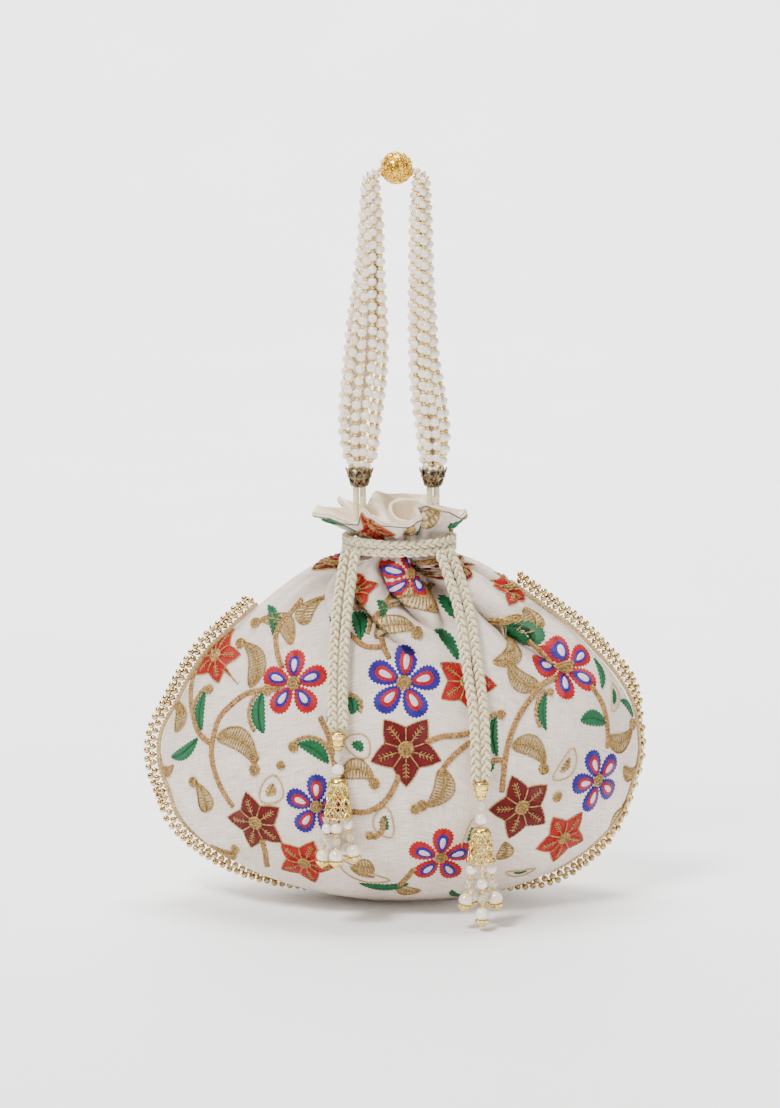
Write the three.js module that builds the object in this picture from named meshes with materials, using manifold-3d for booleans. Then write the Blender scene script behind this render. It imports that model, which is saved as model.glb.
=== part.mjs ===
// A drawstring reticule: an embroidered cloth pouch of two sewn panels with a beaded rim, two braided
// drawstrings that end in tassels, and a handle of bead strings that meet in a filigree ball.
// Millimetres, +Z up, +X to the wearer's right in the front view and -Y towards the viewer.
// The origin is the underside of the filigree ball, where a hand or a hook carries the handle.
import * as THREE from "three";
import { mergeVertices } from "three/addons/utils/BufferGeometryUtils.js";
import Module from "manifold-3d";

const wasm = await Module();
wasm.setup();

// Driving dimensions of the pouch
const halfWidth = 110; // centre to the sewn side seam
const halfDepth = 52; // centre to the front of the belly
const waistHeight = 168; // resting surface to the middle of the drawstrings
const clothWall = 2.2; // embroidered cloth and its backing together
const liningWall = 1.0;
const fit = 0.3; // clearance between pieces that touch
const clothFit = 0.6; // clearance between soft pieces that lie against each other
const pleatCount = 10; // gathers around the waist
const pleatDepth = 3.0;

// Driving dimensions of the frill above the drawstrings
const frillHeight = 15;
const frillReachX = 35.5; // centre of the mouth to the tip of a side lobe
const frillReachY = 25;
const frillShift = -3.5; // the frill leans to the left of the waist
const frillFlare = 1.35; // how late the frill turns outwards on its way up
const frillLift = 0.9; // how early it rises

// Driving dimensions of the rim trim
const bindingWidth = 2.2;
const bindingThickness = 1.8;
const rimBeadBand = 5.2; // two staggered rows of beads
const rimBeadThickness = 3.0;
const rimTurnMost = 72; // degrees by which the trim turns to the back at the middle of the right side
const seamMiddle = 0.45; // share of waistHeight above which the seam's outside faces up

// Driving dimensions of the drawstrings and tassels
const cordDiameter = 4.4;
const waistCordDiameter = 3.6; // the same cord drawn tight around the waist
const endCapRadius = 3.4;
const endCapHeight = 8.4;
const clearBeadRadius = 1.8; // oval bead under the end cap
const clearBeadHeight = 5.2;
const spacerRadius = 2.8; // pearl on top of the bell
const bellRadius = 6.2;
const bellTopRadius = 2.4;
const bellWall = 0.8;
const bellWindow = 1.1; // half-width of the pierced openings
const bellWindows = 4;
const pearlRadius = 2.5;
const crystalRadius = 2.2;
const dropPearlRadius = 3.2;
const flowerCapRadius = 3.0;
const flowerCapHeight = 2.6;
const flowerCapSeat = 0.8; // share of dropPearlRadius below the pearl's centre at which its cap begins
const threadRadius = 0.6;
const bellEngagement = 2.4; // how far the drops' threads reach up into the bell

// Driving dimensions of the handle
const ballRadius = 7.4;
const ballWall = 1.0;
const ballBore = 3.0; // radius of the mouths where the strands enter
const ballWindow = 1.0;
const ballAcross = -0.8; // the ball hangs a little left of the pouch's middle
const ballHeight = 339.7; // resting surface to the centre of the ball
const strandSides = 12;
const handleCapRadius = 6.2;
const handleCapFoot = 3.6;
const handleCapHeight = 7.6;
const handleCapWall = 0.9;
const handleCapWindow = 0.9;
const tabCordRadius = 1.1;
const tabLegGap = 0.6;
const tabLength = 18.8;
const tabCapEntry = 2.4; // how far the tab's bend reaches up into the cap
const handleRise = 25.6; // middle of the drawstrings to the foot of the caps
const handleBack = 4; // the handle's foot stands behind the pouch's middle
const handleSpread = 18.1; // middle of the handle to the middle of a bundle, at its widest
const bundleHalf = 10.7; // half-width of a bundle at its widest

const handleFoot = waistHeight + handleRise;

// Facets of turned pieces
const beadSides = 10;
const cordSides = 8;

const degrees = Math.PI / 180;

// Sections of the pouch from the middle of the bottom seam up to the waist.
// left, right: reach of the side seams, as shares of halfWidth. seam, belly: heights of the side seams and
// of the belly, as shares of waistHeight. depth: share of halfDepth. edge: 1 is an ellipse and more is a
// sharper seam. pleat: share of pleatDepth. tuck: share of halfDepth that the right seam is drawn back.
// The last two rows are the straight neck that the drawstrings circle. A height below the surface that the
// pouch stands on is where the cloth lies flat on it.
const sections = [
  { left: 0, right: 0, seam: 0.068, depth: 0, belly: 0.068, edge: 1, pleat: 0, tuck: 0 },
  { left: 0.218, right: 0.309, seam: 0.068, depth: 0.077, belly: -0.004, edge: 1.1, pleat: 0, tuck: 0 },
  { left: 0.382, right: 0.545, seam: 0.069, depth: 0.163, belly: -0.005, edge: 1.2, pleat: 0, tuck: 0 },
  { left: 0.527, right: 0.645, seam: 0.081, depth: 0.269, belly: 0.009, edge: 1.3, pleat: 0, tuck: 0 },
  { left: 0.673, right: 0.736, seam: 0.11, depth: 0.423, belly: 0.024, edge: 1.4, pleat: 0, tuck: 0.03 },
  { left: 0.809, right: 0.845, seam: 0.161, depth: 0.596, belly: 0.056, edge: 1.4, pleat: 0, tuck: 0.08 },
  { left: 0.914, right: 0.936, seam: 0.226, depth: 0.76, belly: 0.11, edge: 1.4, pleat: 0, tuck: 0.13 },
  { left: 0.955, right: 0.98, seam: 0.297, depth: 0.885, belly: 0.173, edge: 1.4, pleat: 0, tuck: 0.16 },
  { left: 0.995, right: 1.012, seam: 0.381, depth: 0.971, belly: 0.256, edge: 1.4, pleat: 0, tuck: 0.16 },
  { left: 0.986, right: 1.008, seam: 0.464, depth: 1, belly: 0.345, edge: 1.4, pleat: 0, tuck: 0.12 },
  { left: 0.923, right: 0.977, seam: 0.547, depth: 0.971, belly: 0.441, edge: 1.4, pleat: 0.04, tuck: 0.05 },
  { left: 0.859, right: 0.905, seam: 0.631, depth: 0.894, belly: 0.536, edge: 1.4, pleat: 0.1, tuck: 0 },
  { left: 0.791, right: 0.818, seam: 0.697, depth: 0.798, belly: 0.62, edge: 1.35, pleat: 0.18, tuck: 0 },
  { left: 0.7, right: 0.736, seam: 0.756, depth: 0.702, belly: 0.697, edge: 1.3, pleat: 0.3, tuck: 0 },
  { left: 0.6, right: 0.614, seam: 0.821, depth: 0.596, belly: 0.78, edge: 1.25, pleat: 0.45, tuck: 0 },
  { left: 0.495, right: 0.5, seam: 0.881, depth: 0.5, belly: 0.854, edge: 1.2, pleat: 0.6, tuck: 0 },
  { left: 0.386, right: 0.391, seam: 0.932, depth: 0.423, belly: 0.916, edge: 1.1, pleat: 0.8, tuck: 0 },
  { left: 0.29, right: 0.286, seam: 0.962, depth: 0.375, belly: 0.955, edge: 1, pleat: 0.95, tuck: 0 },
  { left: 0.2, right: 0.21, seam: 0.976, depth: 0.331, belly: 0.975, edge: 1, pleat: 1, tuck: 0 },
  { left: 0.2, right: 0.21, seam: 1.024, depth: 0.331, belly: 1.024, edge: 1, pleat: 1, tuck: 0 },
];

// Large folds that run down from the waist. angle: degrees around from the right seam, 270 being the front.
// spread: half-width in degrees. depth: share of halfDepth. low: share of waistHeight where the fold
// fades out.
const folds = [
  { angle: 251, spread: 7, depth: 0.135, low: 0.74 },
  { angle: 277, spread: 6, depth: 0.085, low: 0.82 },
  { angle: 292, spread: 6, depth: 0.075, low: 0.84 },
  { angle: 318, spread: 8, depth: 0.165, low: 0.66 },
  { angle: 222, spread: 9, depth: 0.07, low: 0.7 },
  { angle: 44, spread: 8, depth: 0.12, low: 0.7 },
  { angle: 82, spread: 6, depth: 0.09, low: 0.8 },
  { angle: 109, spread: 7, depth: 0.11, low: 0.76 },
  { angle: 140, spread: 8, depth: 0.13, low: 0.68 },
];

// The ruffled edge of the frill. angle as for the folds. reach: share of frillReachX and frillReachY.
// lift: share of frillHeight above the top of the waist.
const ruffle = [
  { angle: 0, reach: 1, lift: 0.62 },
  { angle: 22, reach: 0.86, lift: 0.75 },
  { angle: 48, reach: 0.82, lift: 0.84 },
  { angle: 72, reach: 0.98, lift: 0.92 },
  { angle: 98, reach: 0.94, lift: 0.92 },
  { angle: 124, reach: 0.74, lift: 0.62 },
  { angle: 148, reach: 0.95, lift: 0.76 },
  { angle: 168, reach: 0.9, lift: 0.72 },
  { angle: 183, reach: 1, lift: 0.56 },
  { angle: 204, reach: 0.97, lift: 0.46 },
  { angle: 222, reach: 0.68, lift: 0.5 },
  { angle: 240, reach: 0.64, lift: 0.62 },
  { angle: 258, reach: 0.92, lift: 0.5 },
  { angle: 280, reach: 0.98, lift: 0.42 },
  { angle: 298, reach: 0.8, lift: 0.55 },
  { angle: 316, reach: 0.68, lift: 0.82 },
  { angle: 337, reach: 1, lift: 0.6 },
];

// The free ends of the drawstrings, from the neck down the front of the pouch to the end caps.
// Points are x, y and height above the resting surface in millimetres.
const tailRoutes = {
  left_tail_outer: [
    [-23.8, -14.6, 166.5], [-24.8, -17.4, 161.5], [-25.6, -19.8, 156.0], [-26.6, -22.4, 150.0],
    [-27.6, -25.4, 143.0], [-28.4, -28.6, 136.0], [-28.9, -32.6, 128.0], [-29.3, -37.0, 119.6],
    [-29.6, -41.0, 111.0], [-29.7, -44.6, 102.7], [-29.6, -48.1, 96.8], [-29.5, -50.6, 91.2],
  ],
  left_tail_inner: [
    [-19.3, -18.2, 166.5], [-20.2, -20.6, 161.5], [-21.0, -22.6, 156.0], [-21.9, -24.8, 150.0],
    [-22.8, -27.4, 143.0], [-23.6, -30.2, 136.0], [-24.2, -33.8, 128.0], [-24.6, -38.0, 119.6],
    [-24.9, -41.8, 111.0], [-25.0, -45.0, 102.7], [-24.9, -48.2, 96.8], [-24.8, -50.6, 91.2],
  ],
  right_tail_inner: [
    [18.8, -18.6, 166.5], [20.8, -20.8, 161.5], [22.8, -22.6, 156.0], [25.0, -24.8, 149.5],
    [27.1, -27.2, 142.4], [28.6, -30.2, 135.2], [29.9, -34.0, 127.0], [30.9, -37.8, 119.0],
    [32.1, -41.2, 110.6], [33.4, -44.4, 102.2], [34.3, -47.2, 93.6], [34.7, -49.6, 85.0],
    [35.0, -51.4, 76.6], [35.1, -52.4, 67.3],
  ],
  right_tail_outer: [
    [23.3, -14.9, 167.0], [25.9, -16.2, 161.0], [28.2, -18.0, 155.0], [30.4, -20.8, 148.8],
    [32.2, -24.4, 142.0], [33.6, -28.0, 135.0], [34.9, -32.2, 127.0], [36.0, -36.2, 119.0],
    [37.2, -39.8, 110.6], [38.2, -43.2, 102.2], [39.0, -46.2, 93.6], [39.4, -48.8, 85.0],
    [39.7, -50.8, 76.6], [39.8, -52.0, 67.3],
  ],
};

// The handle's bundles of bead strings, from the lower caps up to the ball. A height of a cap row is a share of
// handleCapHeight above the caps' foot, and of a ball row a share of ballRadius below the ball's centre. A free
// row's is a share of the way from the last cap row to the first ball row. across: centre in x, a share of
// handleSpread, or of ballRadius from the ball's centre in the ball rows. half, deep: half-widths across and
// along y, shares of bundleHalf.
const handleRoutes = {
  left: [
    { by: "cap", height: 0.605, across: -0.978, half: 0.346, deep: 0.346 },
    { by: "cap", height: 1.026, across: -0.978, half: 0.439, deep: 0.411 },
    { by: "cap", height: 1.5, across: -0.978, half: 0.692, deep: 0.486 },
    { by: "cap", height: 2.158, across: -0.989, half: 0.841, deep: 0.523 },
    { by: "free", height: 0.084, across: -1, half: 0.944, deep: 0.542 },
    { by: "free", height: 0.202, across: -0.928, half: 1, deep: 0.561 },
    { by: "free", height: 0.353, across: -0.807, half: 0.991, deep: 0.579 },
    { by: "free", height: 0.521, across: -0.746, half: 0.897, deep: 0.598 },
    { by: "free", height: 0.706, across: -0.713, half: 0.701, deep: 0.617 },
    { by: "free", height: 0.891, across: -0.691, half: 0.57, deep: 0.598 },
    { by: "ball", height: 1.446, across: -1.595, half: 0.458, deep: 0.523 },
    { by: "ball", height: 0.5, across: -1.514, half: 0.364, deep: 0.411 },
    { by: "ball", height: 0.068, across: -1.135, half: 0.196, deep: 0.224 },
  ],
  right: [
    { by: "cap", height: 0.605, across: 0.89, half: 0.346, deep: 0.346 },
    { by: "cap", height: 1.026, across: 0.89, half: 0.439, deep: 0.411 },
    { by: "cap", height: 1.5, across: 0.89, half: 0.617, deep: 0.486 },
    { by: "cap", height: 2.158, across: 0.878, half: 0.729, deep: 0.542 },
    { by: "free", height: 0.084, across: 0.851, half: 0.785, deep: 0.579 },
    { by: "free", height: 0.202, across: 0.751, half: 0.804, deep: 0.617 },
    { by: "free", height: 0.353, across: 0.663, half: 0.701, deep: 0.636 },
    { by: "free", height: 0.521, across: 0.63, half: 0.645, deep: 0.636 },
    { by: "free", height: 0.706, across: 0.586, half: 0.579, deep: 0.636 },
    { by: "free", height: 0.891, across: 0.558, half: 0.533, deep: 0.598 },
    { by: "ball", height: 1.446, across: 1.486, half: 0.458, deep: 0.523 },
    { by: "ball", height: 0.5, across: 1.486, half: 0.364, deep: 0.411 },
    { by: "ball", height: 0.068, across: 1.135, half: 0.196, deep: 0.224 },
  ],
};

// The two tassels. across: x of the axis. capTop: height of the end cap's top. capOut, bellOut: y of the end
// cap and of the bell, which the belly pushes out. pitch: spacing of the beads on a drop.
// Of each drop, angle: degrees around the bell, 270 being the front. lean: degrees outwards. lower: hung
// lower by.
const tassels = {
  left: {
    across: -27.2, capTop: 89.9, capOut: -51.2, bellOut: -55.9, bellHeight: 18.4, pitch: 6.4,
    drops: [
      { angle: 262, lean: 5, lower: 1.2 },
      { angle: 334, lean: 13, lower: 0 },
      { angle: 46, lean: 6, lower: 0.6 },
      { angle: 118, lean: 5, lower: 1.8 },
      { angle: 190, lean: 8, lower: 2.2 },
    ],
  },
  right: {
    across: 37.4, capTop: 67, capOut: -52.4, bellOut: -56.6, bellHeight: 16, pitch: 7,
    drops: [
      { angle: 276, lean: 4, lower: 6.4 },
      { angle: 348, lean: 9, lower: 0.2 },
      { angle: 60, lean: 6, lower: 0.8 },
      { angle: 132, lean: 5, lower: 0.4 },
      { angle: 204, lean: 11, lower: 0.6 },
    ],
  },
};

// The bell's form from its closed top to its mouth. share: from bellTopRadius to bellRadius.
// lift: share of the bell's height.
const bellForm = [
  { share: 0, lift: 1 },
  { share: 0.42, lift: 0.9 },
  { share: 0.56, lift: 0.62 },
  { share: 0.82, lift: 0.3 },
  { share: 1, lift: 0 },
];

// Rows of pierced openings in the bell. lift: share of its height. turn: share of the spacing of the openings.
const bellPiercing = [
  { lift: 0.26, turn: 0.5 },
  { lift: 0.56, turn: 1 },
];

// How finely the pieces are stepped
const mergeDistance = 1e-3;
const panelSteps = (pleatCount / 2) * 4; // around one panel, four to a gather
const frillRings = 3;
const leftShoulderRow = 14; // rows of the sections where the trim begins and ends
const rightShoulderRow = 15;
const trimSteps = 40;
const loopSteps = 24;
const loopSides = 6;
const cordStep = 2; // cord diameters
const beadRows = [0.97, 0.45, -0.45, -0.97]; // heights on a bead, as shares of its half-height
const bendSteps = 6;
const ballRows = 6;
const ballWindows = 6;
const handleCapWindows = 6;

const neckFoot = waistHeight * sections[sections.length - 2].seam;
const neckTop = waistHeight * sections[sections.length - 1].seam;

const smooth = (t) => {
  const s = Math.min(1, Math.max(0, t));
  return s * s * (3 - 2 * s);
};
const mix = (a, b, t) => a + (b - a) * t;

// Value of a column of the ruffle table at an angle, smoothed round the closed ring.
function ruffleAt(angle, column) {
  const turned = ((angle % 360) + 360) % 360;
  let i = ruffle.length - 1;
  while (i > 0 && ruffle[i].angle > turned) i--;
  const next = ruffle[(i + 1) % ruffle.length];
  const gap = (next.angle - ruffle[i].angle + 360) % 360;
  const t = (turned - ruffle[i].angle) / gap;
  return mix(ruffle[i][column], next[column], smooth(t));
}

// Moves each point of an outline inwards by a distance, square to the line through its neighbours.
function inset(points, distance) {
  return points.map(([out, up], i) => {
    const [o0, u0] = points[Math.max(0, i - 1)];
    const [o1, u1] = points[Math.min(points.length - 1, i + 1)];
    const long = Math.hypot(o1 - o0, u1 - u0);
    if (i === 0) return [out, up + distance];
    return [out - (distance * (u1 - u0)) / long, up + (distance * (o1 - o0)) / long];
  });
}

// Rings of the pouch in millimetres, inset by a distance from the outside of the cloth.
function ringsInset(distance) {
  const left = inset(sections.map((s) => [s.left * halfWidth, s.seam * waistHeight]), distance);
  const right = inset(sections.map((s) => [s.right * halfWidth, s.seam * waistHeight]), distance);
  const deep = inset(sections.map((s) => [s.depth * halfDepth, s.belly * waistHeight]), distance);
  return sections.map((s, i) => ({
    left: left[i][0],
    right: right[i][0],
    leftSeam: left[i][1],
    rightSeam: right[i][1],
    depth: deep[i][0],
    belly: deep[i][1],
    edge: s.edge,
    pleat: s.pleat,
    tuck: s.tuck * halfDepth,
    height: s.seam,
    floor: distance,
  }));
}

// How far the gathers and folds draw the cloth in at an angle.
function drawnIn(angle, ring) {
  let depth = pleatDepth * ring.pleat * 0.5 * (1 + Math.cos(pleatCount * angle * degrees));
  for (const fold of folds) {
    const fade = smooth((ring.height - fold.low) / (0.95 - fold.low));
    const bulge = 1 - 0.55 * smooth((ring.height - 0.95) / 0.05);
    const across = (angle - fold.angle) / fold.spread;
    depth += fold.depth * halfDepth * fade * bulge * Math.exp(-across * across);
  }
  return depth;
}

// A point of the cloth at an angle of a ring.
function ringPoint(ring, angle) {
  const c = Math.cos(angle * degrees);
  const s = Math.sin(angle * degrees);
  const across = c < 0 ? ring.left : ring.right;
  const seam = c < 0 ? ring.leftSeam : ring.rightSeam;
  const lens = Math.pow(Math.abs(s), ring.edge);
  const inwards = drawnIn(angle, ring);
  return new THREE.Vector3(
    c * (across - inwards),
    Math.sign(s) * lens * ring.depth - s * inwards + (c > 0 ? ring.tuck * Math.pow(c, 4) : 0),
    Math.max(mix(seam, ring.belly, lens), ring.floor),
  );
}

// A point of the frill at an angle, with a share from the waist, 0, to the ruffled edge, 1.
// The edge is inset with the cloth, mostly sideways where the frill stands and upwards where it lies.
function frillPoint(waist, angle, share, distance) {
  const base = ringPoint(waist, angle);
  const reach = ruffleAt(angle, "reach");
  const side = share * distance;
  const rim = new THREE.Vector3(
    frillShift + Math.cos(angle * degrees) * (reach * frillReachX - side),
    Math.sin(angle * degrees) * (reach * frillReachY - side),
    neckTop + frillHeight * ruffleAt(angle, "lift") + 0.25 * side,
  );
  const flare = Math.pow(share, frillFlare);
  return new THREE.Vector3(
    mix(base.x, rim.x, flare),
    mix(base.y, rim.y, flare),
    mix(base.z, rim.z, Math.pow(share, frillLift)),
  );
}

// Rows of points up one face of the cloth, between two angles and from a first section to the frill's edge.
function clothFace(distance, firstAngle, lastAngle, steps, firstSection, shift) {
  const rings = ringsInset(distance);
  const waist = rings[rings.length - 1];
  const rows = [];
  const ringRow = (point) => {
    const row = [];
    for (let j = 0; j <= steps; j++) {
      row.push(point(mix(firstAngle, lastAngle, j / steps)).add(new THREE.Vector3(0, shift, 0)));
    }
    rows.push(row);
  };
  for (let i = firstSection; i < rings.length; i++) ringRow((angle) => ringPoint(rings[i], angle));
  for (let k = 1; k <= frillRings; k++) {
    ringRow((angle) => frillPoint(waist, angle, k / frillRings, distance));
  }
  return rows;
}

// Closes a geometry: merges its corners, drops slivers of no area and turns the faces outwards.
function closed(geometry) {
  geometry.deleteAttribute("normal");
  geometry.deleteAttribute("uv");
  const merged = mergeVertices(geometry, mergeDistance);
  const index = merged.index.array;
  const p = merged.attributes.position.array;
  const kept = [];
  let volume = 0;
  for (let i = 0; i < index.length; i += 3) {
    const [a, b, c] = [index[i], index[i + 1], index[i + 2]];
    if (a === b || b === c || c === a) continue;
    kept.push(a, b, c);
    const [ax, ay, az] = [p[3 * a], p[3 * a + 1], p[3 * a + 2]];
    const [bx, by, bz] = [p[3 * b], p[3 * b + 1], p[3 * b + 2]];
    const [cx, cy, cz] = [p[3 * c], p[3 * c + 1], p[3 * c + 2]];
    volume += ax * (by * cz - bz * cy) + ay * (bz * cx - bx * cz) + az * (bx * cy - by * cx);
  }
  if (volume < 0) kept.reverse();
  const result = new THREE.BufferGeometry();
  result.setAttribute("position", merged.attributes.position);
  result.setIndex(kept);
  return result;
}

// Turns a list of triangles, each three vectors, into a closed geometry.
function fromTriangles(triangles) {
  const corners = triangles.flat().flatMap((p) => [p.x, p.y, p.z]);
  const geometry = new THREE.BufferGeometry();
  geometry.setAttribute("position", new THREE.Float32BufferAttribute(corners, 3));
  return closed(geometry);
}

const quad = (a, b, c, d) => [
  [a, b, c],
  [a, c, d],
];

// One sewn panel: an outer and an inner face joined along the side seams, the bottom and the frill's edge.
function panelGeometry(firstAngle, shift) {
  const lastAngle = firstAngle + 180;
  const outer = clothFace(0, firstAngle, lastAngle, panelSteps, 1, shift);
  const inner = clothFace(clothWall, firstAngle, lastAngle, panelSteps, 1, shift);
  const bottom = new THREE.Vector3(0, shift, sections[0].seam * waistHeight);
  const bottomInner = bottom.clone().add(new THREE.Vector3(0, 0, clothWall));
  const triangles = [];
  const top = outer.length - 1;
  for (let i = 0; i < top; i++) {
    for (let j = 0; j < panelSteps; j++) {
      triangles.push(...quad(outer[i][j], outer[i][j + 1], outer[i + 1][j + 1], outer[i + 1][j]));
      triangles.push(...quad(inner[i][j], inner[i + 1][j], inner[i + 1][j + 1], inner[i][j + 1]));
    }
    triangles.push(...quad(outer[i][0], outer[i + 1][0], inner[i + 1][0], inner[i][0]));
    const j = panelSteps;
    triangles.push(...quad(outer[i][j], inner[i][j], inner[i + 1][j], outer[i + 1][j]));
  }
  for (let j = 0; j < panelSteps; j++) {
    triangles.push(...quad(outer[top][j], outer[top][j + 1], inner[top][j + 1], inner[top][j]));
    triangles.push([bottom, outer[0][j + 1], outer[0][j]]);
    triangles.push([bottomInner, inner[0][j], inner[0][j + 1]]);
  }
  triangles.push(...quad(bottom, outer[0][0], inner[0][0], bottomInner));
  triangles.push(...quad(bottom, bottomInner, inner[0][panelSteps], outer[0][panelSteps]));
  return fromTriangles(triangles);
}

// The lining where it shows: a sleeve from the foot of the neck to the frill's edge.
function liningGeometry() {
  const steps = 2 * panelSteps;
  const firstSection = sections.length - 2;
  const outside = clothWall + clothFit;
  const outer = clothFace(outside, 0, 360, steps, firstSection, 0);
  const inner = clothFace(outside + liningWall, 0, 360, steps, firstSection, 0);
  for (const rows of [outer, inner]) for (const row of rows) row[steps] = row[0];
  const triangles = [];
  const top = outer.length - 1;
  for (let j = 0; j < steps; j++) {
    for (let i = 0; i < top; i++) {
      triangles.push(...quad(outer[i][j], outer[i][j + 1], outer[i + 1][j + 1], outer[i + 1][j]));
      triangles.push(...quad(inner[i][j], inner[i + 1][j], inner[i + 1][j + 1], inner[i][j + 1]));
    }
    triangles.push(...quad(outer[top][j], outer[top][j + 1], inner[top][j + 1], inner[top][j]));
    triangles.push(...quad(outer[0][j], inner[0][j], inner[0][j + 1], outer[0][j + 1]));
  }
  return fromTriangles(triangles);
}

// Joins rings of points into a tube, with flat ends or run round into itself.
function tubeFromRings(rings, loops = false) {
  const triangles = [];
  const count = rings[0].length;
  const spans = loops ? rings.length : rings.length - 1;
  for (let i = 0; i < spans; i++) {
    const a = rings[i];
    const b = rings[(i + 1) % rings.length];
    for (let j = 0; j < count; j++) {
      const k = (j + 1) % count;
      triangles.push(...quad(a[j], a[k], b[k], b[j]));
    }
  }
  if (!loops) {
    const end = rings[rings.length - 1];
    for (let j = 1; j < count - 1; j++) {
      triangles.push([rings[0][0], rings[0][j + 1], rings[0][j]]);
      triangles.push([end[0], end[j], end[j + 1]]);
    }
  }
  return fromTriangles(triangles);
}

// Angle by which the trim turns to the back: none on the left and most at the middle of the right side.
function rimTurn(at) {
  const share = at.z / waistHeight;
  const middle = smooth((share - 0.07) / 0.2) * (1 - smooth((share - 0.48) / 0.18));
  return at.x > 0 ? rimTurnMost * degrees * middle : 0;
}

// The side seam from the left shoulder round the bottom to the right shoulder. Each frame has a point just
// outside the cloth, the direction in which the trim stands away from it, and the direction of its thickness.
function seamFrames(halfThickness) {
  const rings = ringsInset(0);
  const step = 180 / panelSteps;
  const seam = [];
  const add = (ring, angle, aside) => {
    seam.push({ at: ringPoint(ring, angle), beside: ringPoint(ring, aside) });
  };
  for (let i = leftShoulderRow; i > 0; i--) add(rings[i], 180, 180 + step);
  seam.push({ at: new THREE.Vector3(0, 0, rings[0].leftSeam), beside: ringPoint(rings[1], 270) });
  for (let i = 1; i <= rightShoulderRow; i++) add(rings[i], 0, -step);
  const curve = new THREE.CatmullRomCurve3(seam.map((s) => s.at), false, "centripetal");
  const frames = [];
  for (let i = 0; i <= trimSteps; i++) {
    const u = i / trimSteps;
    const at = curve.getPointAt(u);
    const along = curve.getTangentAt(u);
    const out = new THREE.Vector3(along.z, 0, -along.x).normalize();
    if (out.dot(new THREE.Vector3(at.x, 0, at.z - seamMiddle * waistHeight)) < 0) out.negate();
    let near = seam[0];
    for (const s of seam) if (s.at.distanceTo(at) < near.at.distanceTo(at)) near = s;
    const aside = near.beside.clone().sub(near.at);
    const dip = Math.max(0, aside.dot(out) / Math.max(Math.abs(aside.y), fit));
    const turn = rimTurn(at);
    const clear = clothFit + halfThickness * (dip + Math.sin(turn));
    const away = out.clone().multiplyScalar(Math.cos(turn)).add(new THREE.Vector3(0, Math.sin(turn), 0));
    const across = new THREE.Vector3().crossVectors(away, along).normalize();
    frames.push({ base: at.clone().addScaledVector(out, clear), away, across });
  }
  return frames;
}

// A flat band along the seam between two distances from the cloth.
function seamBand(near, far, thickness) {
  const half = thickness / 2;
  const rings = seamFrames(bindingThickness / 2).map(({ base, away, across }) => {
    const corner = (out, aside) => base.clone().addScaledVector(away, out).addScaledVector(across, aside);
    return [corner(near, -half), corner(far, -half), corner(far, half), corner(near, half)];
  });
  return tubeFromRings(rings);
}

// One drawstring where it circles the neck.
function waistLoop(height) {
  const radius = waistCordDiameter / 2;
  const neck = ringsInset(0)[sections.length - 1];
  const across = (neck.left + neck.right) / 2 + radius + clothFit;
  const deep = neck.depth + radius + clothFit;
  const centre = (neck.right - neck.left) / 2;
  const rings = [];
  for (let i = 0; i < loopSteps; i++) {
    const turn = (2 * Math.PI * i) / loopSteps;
    const out = new THREE.Vector3(Math.cos(turn) * deep, Math.sin(turn) * across, 0).normalize();
    const at = new THREE.Vector3(centre + across * Math.cos(turn), deep * Math.sin(turn), height);
    const ring = [];
    for (let j = 0; j < loopSides; j++) {
      const round = (2 * Math.PI * j) / loopSides;
      const aside = new THREE.Vector3(0, 0, radius * Math.sin(round));
      ring.push(at.clone().addScaledVector(out, radius * Math.cos(round)).add(aside));
    }
    rings.push(ring);
  }
  return tubeFromRings(rings, true);
}

// A free end of a drawstring: a round section run along its route.
function tailGeometry(route) {
  const radius = cordDiameter / 2;
  const section = new THREE.Shape();
  for (let j = 0; j < cordSides; j++) {
    const turn = (2 * Math.PI * j) / cordSides;
    const point = [radius * Math.cos(turn), radius * Math.sin(turn)];
    if (j === 0) section.moveTo(...point);
    else section.lineTo(...point);
  }
  section.closePath();
  const path = new THREE.CatmullRomCurve3(route.map((p) => new THREE.Vector3(...p)), false, "centripetal");
  const steps = Math.round(path.getLength() / (cordStep * cordDiameter));
  return closed(new THREE.ExtrudeGeometry(section, { steps, extrudePath: path, bevelEnabled: false }));
}

// A piece turned about its own upright axis, from a closed list of radius and height.
function turned(profile, sides) {
  const points = profile.map(([radius, height]) => new THREE.Vector2(radius, height));
  return closed(new THREE.LatheGeometry(points, sides).rotateX(Math.PI / 2));
}

// Heights and radii of a bead between two necks, from above to below.
function beadProfile(radius, halfHeight, centre) {
  const rows = [];
  for (const share of beadRows) {
    const wide = Math.sqrt(Math.max(0, 1 - share * share));
    rows.push([Math.max(threadRadius, radius * wide), centre + halfHeight * share]);
  }
  return rows;
}

// A bead with its thread ends closed flat.
function beadGeometry(radius, halfHeight) {
  const rows = beadProfile(radius, halfHeight, 0);
  return turned([[0, halfHeight], ...rows, [0, -halfHeight]], beadSides);
}

// Cuts every tool out of a piece.
function pierced(piece, tools) {
  const solid = (geometry) => {
    const vertProperties = new Float32Array(geometry.attributes.position.array);
    const triVerts = new Uint32Array(geometry.index.array);
    return new wasm.Manifold(new wasm.Mesh({ numProp: 3, vertProperties, triVerts }));
  };
  let result = solid(piece);
  for (const tool of tools) result = result.subtract(solid(tool));
  const mesh = result.getMesh();
  const geometry = new THREE.BufferGeometry();
  geometry.setAttribute("position", new THREE.BufferAttribute(new Float32Array(mesh.vertProperties), 3));
  geometry.setIndex(Array.from(mesh.triVerts));
  return closed(geometry);
}

// A square punch that points outwards from an upright axis, standing on one corner.
function radialPunch(reach, length, radius, angle, height) {
  const punch = new THREE.CylinderGeometry(reach, reach, length, 4);
  punch.rotateZ(Math.PI / 2);
  punch.translate(radius, 0, height);
  punch.rotateZ(angle);
  return closed(punch);
}

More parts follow.
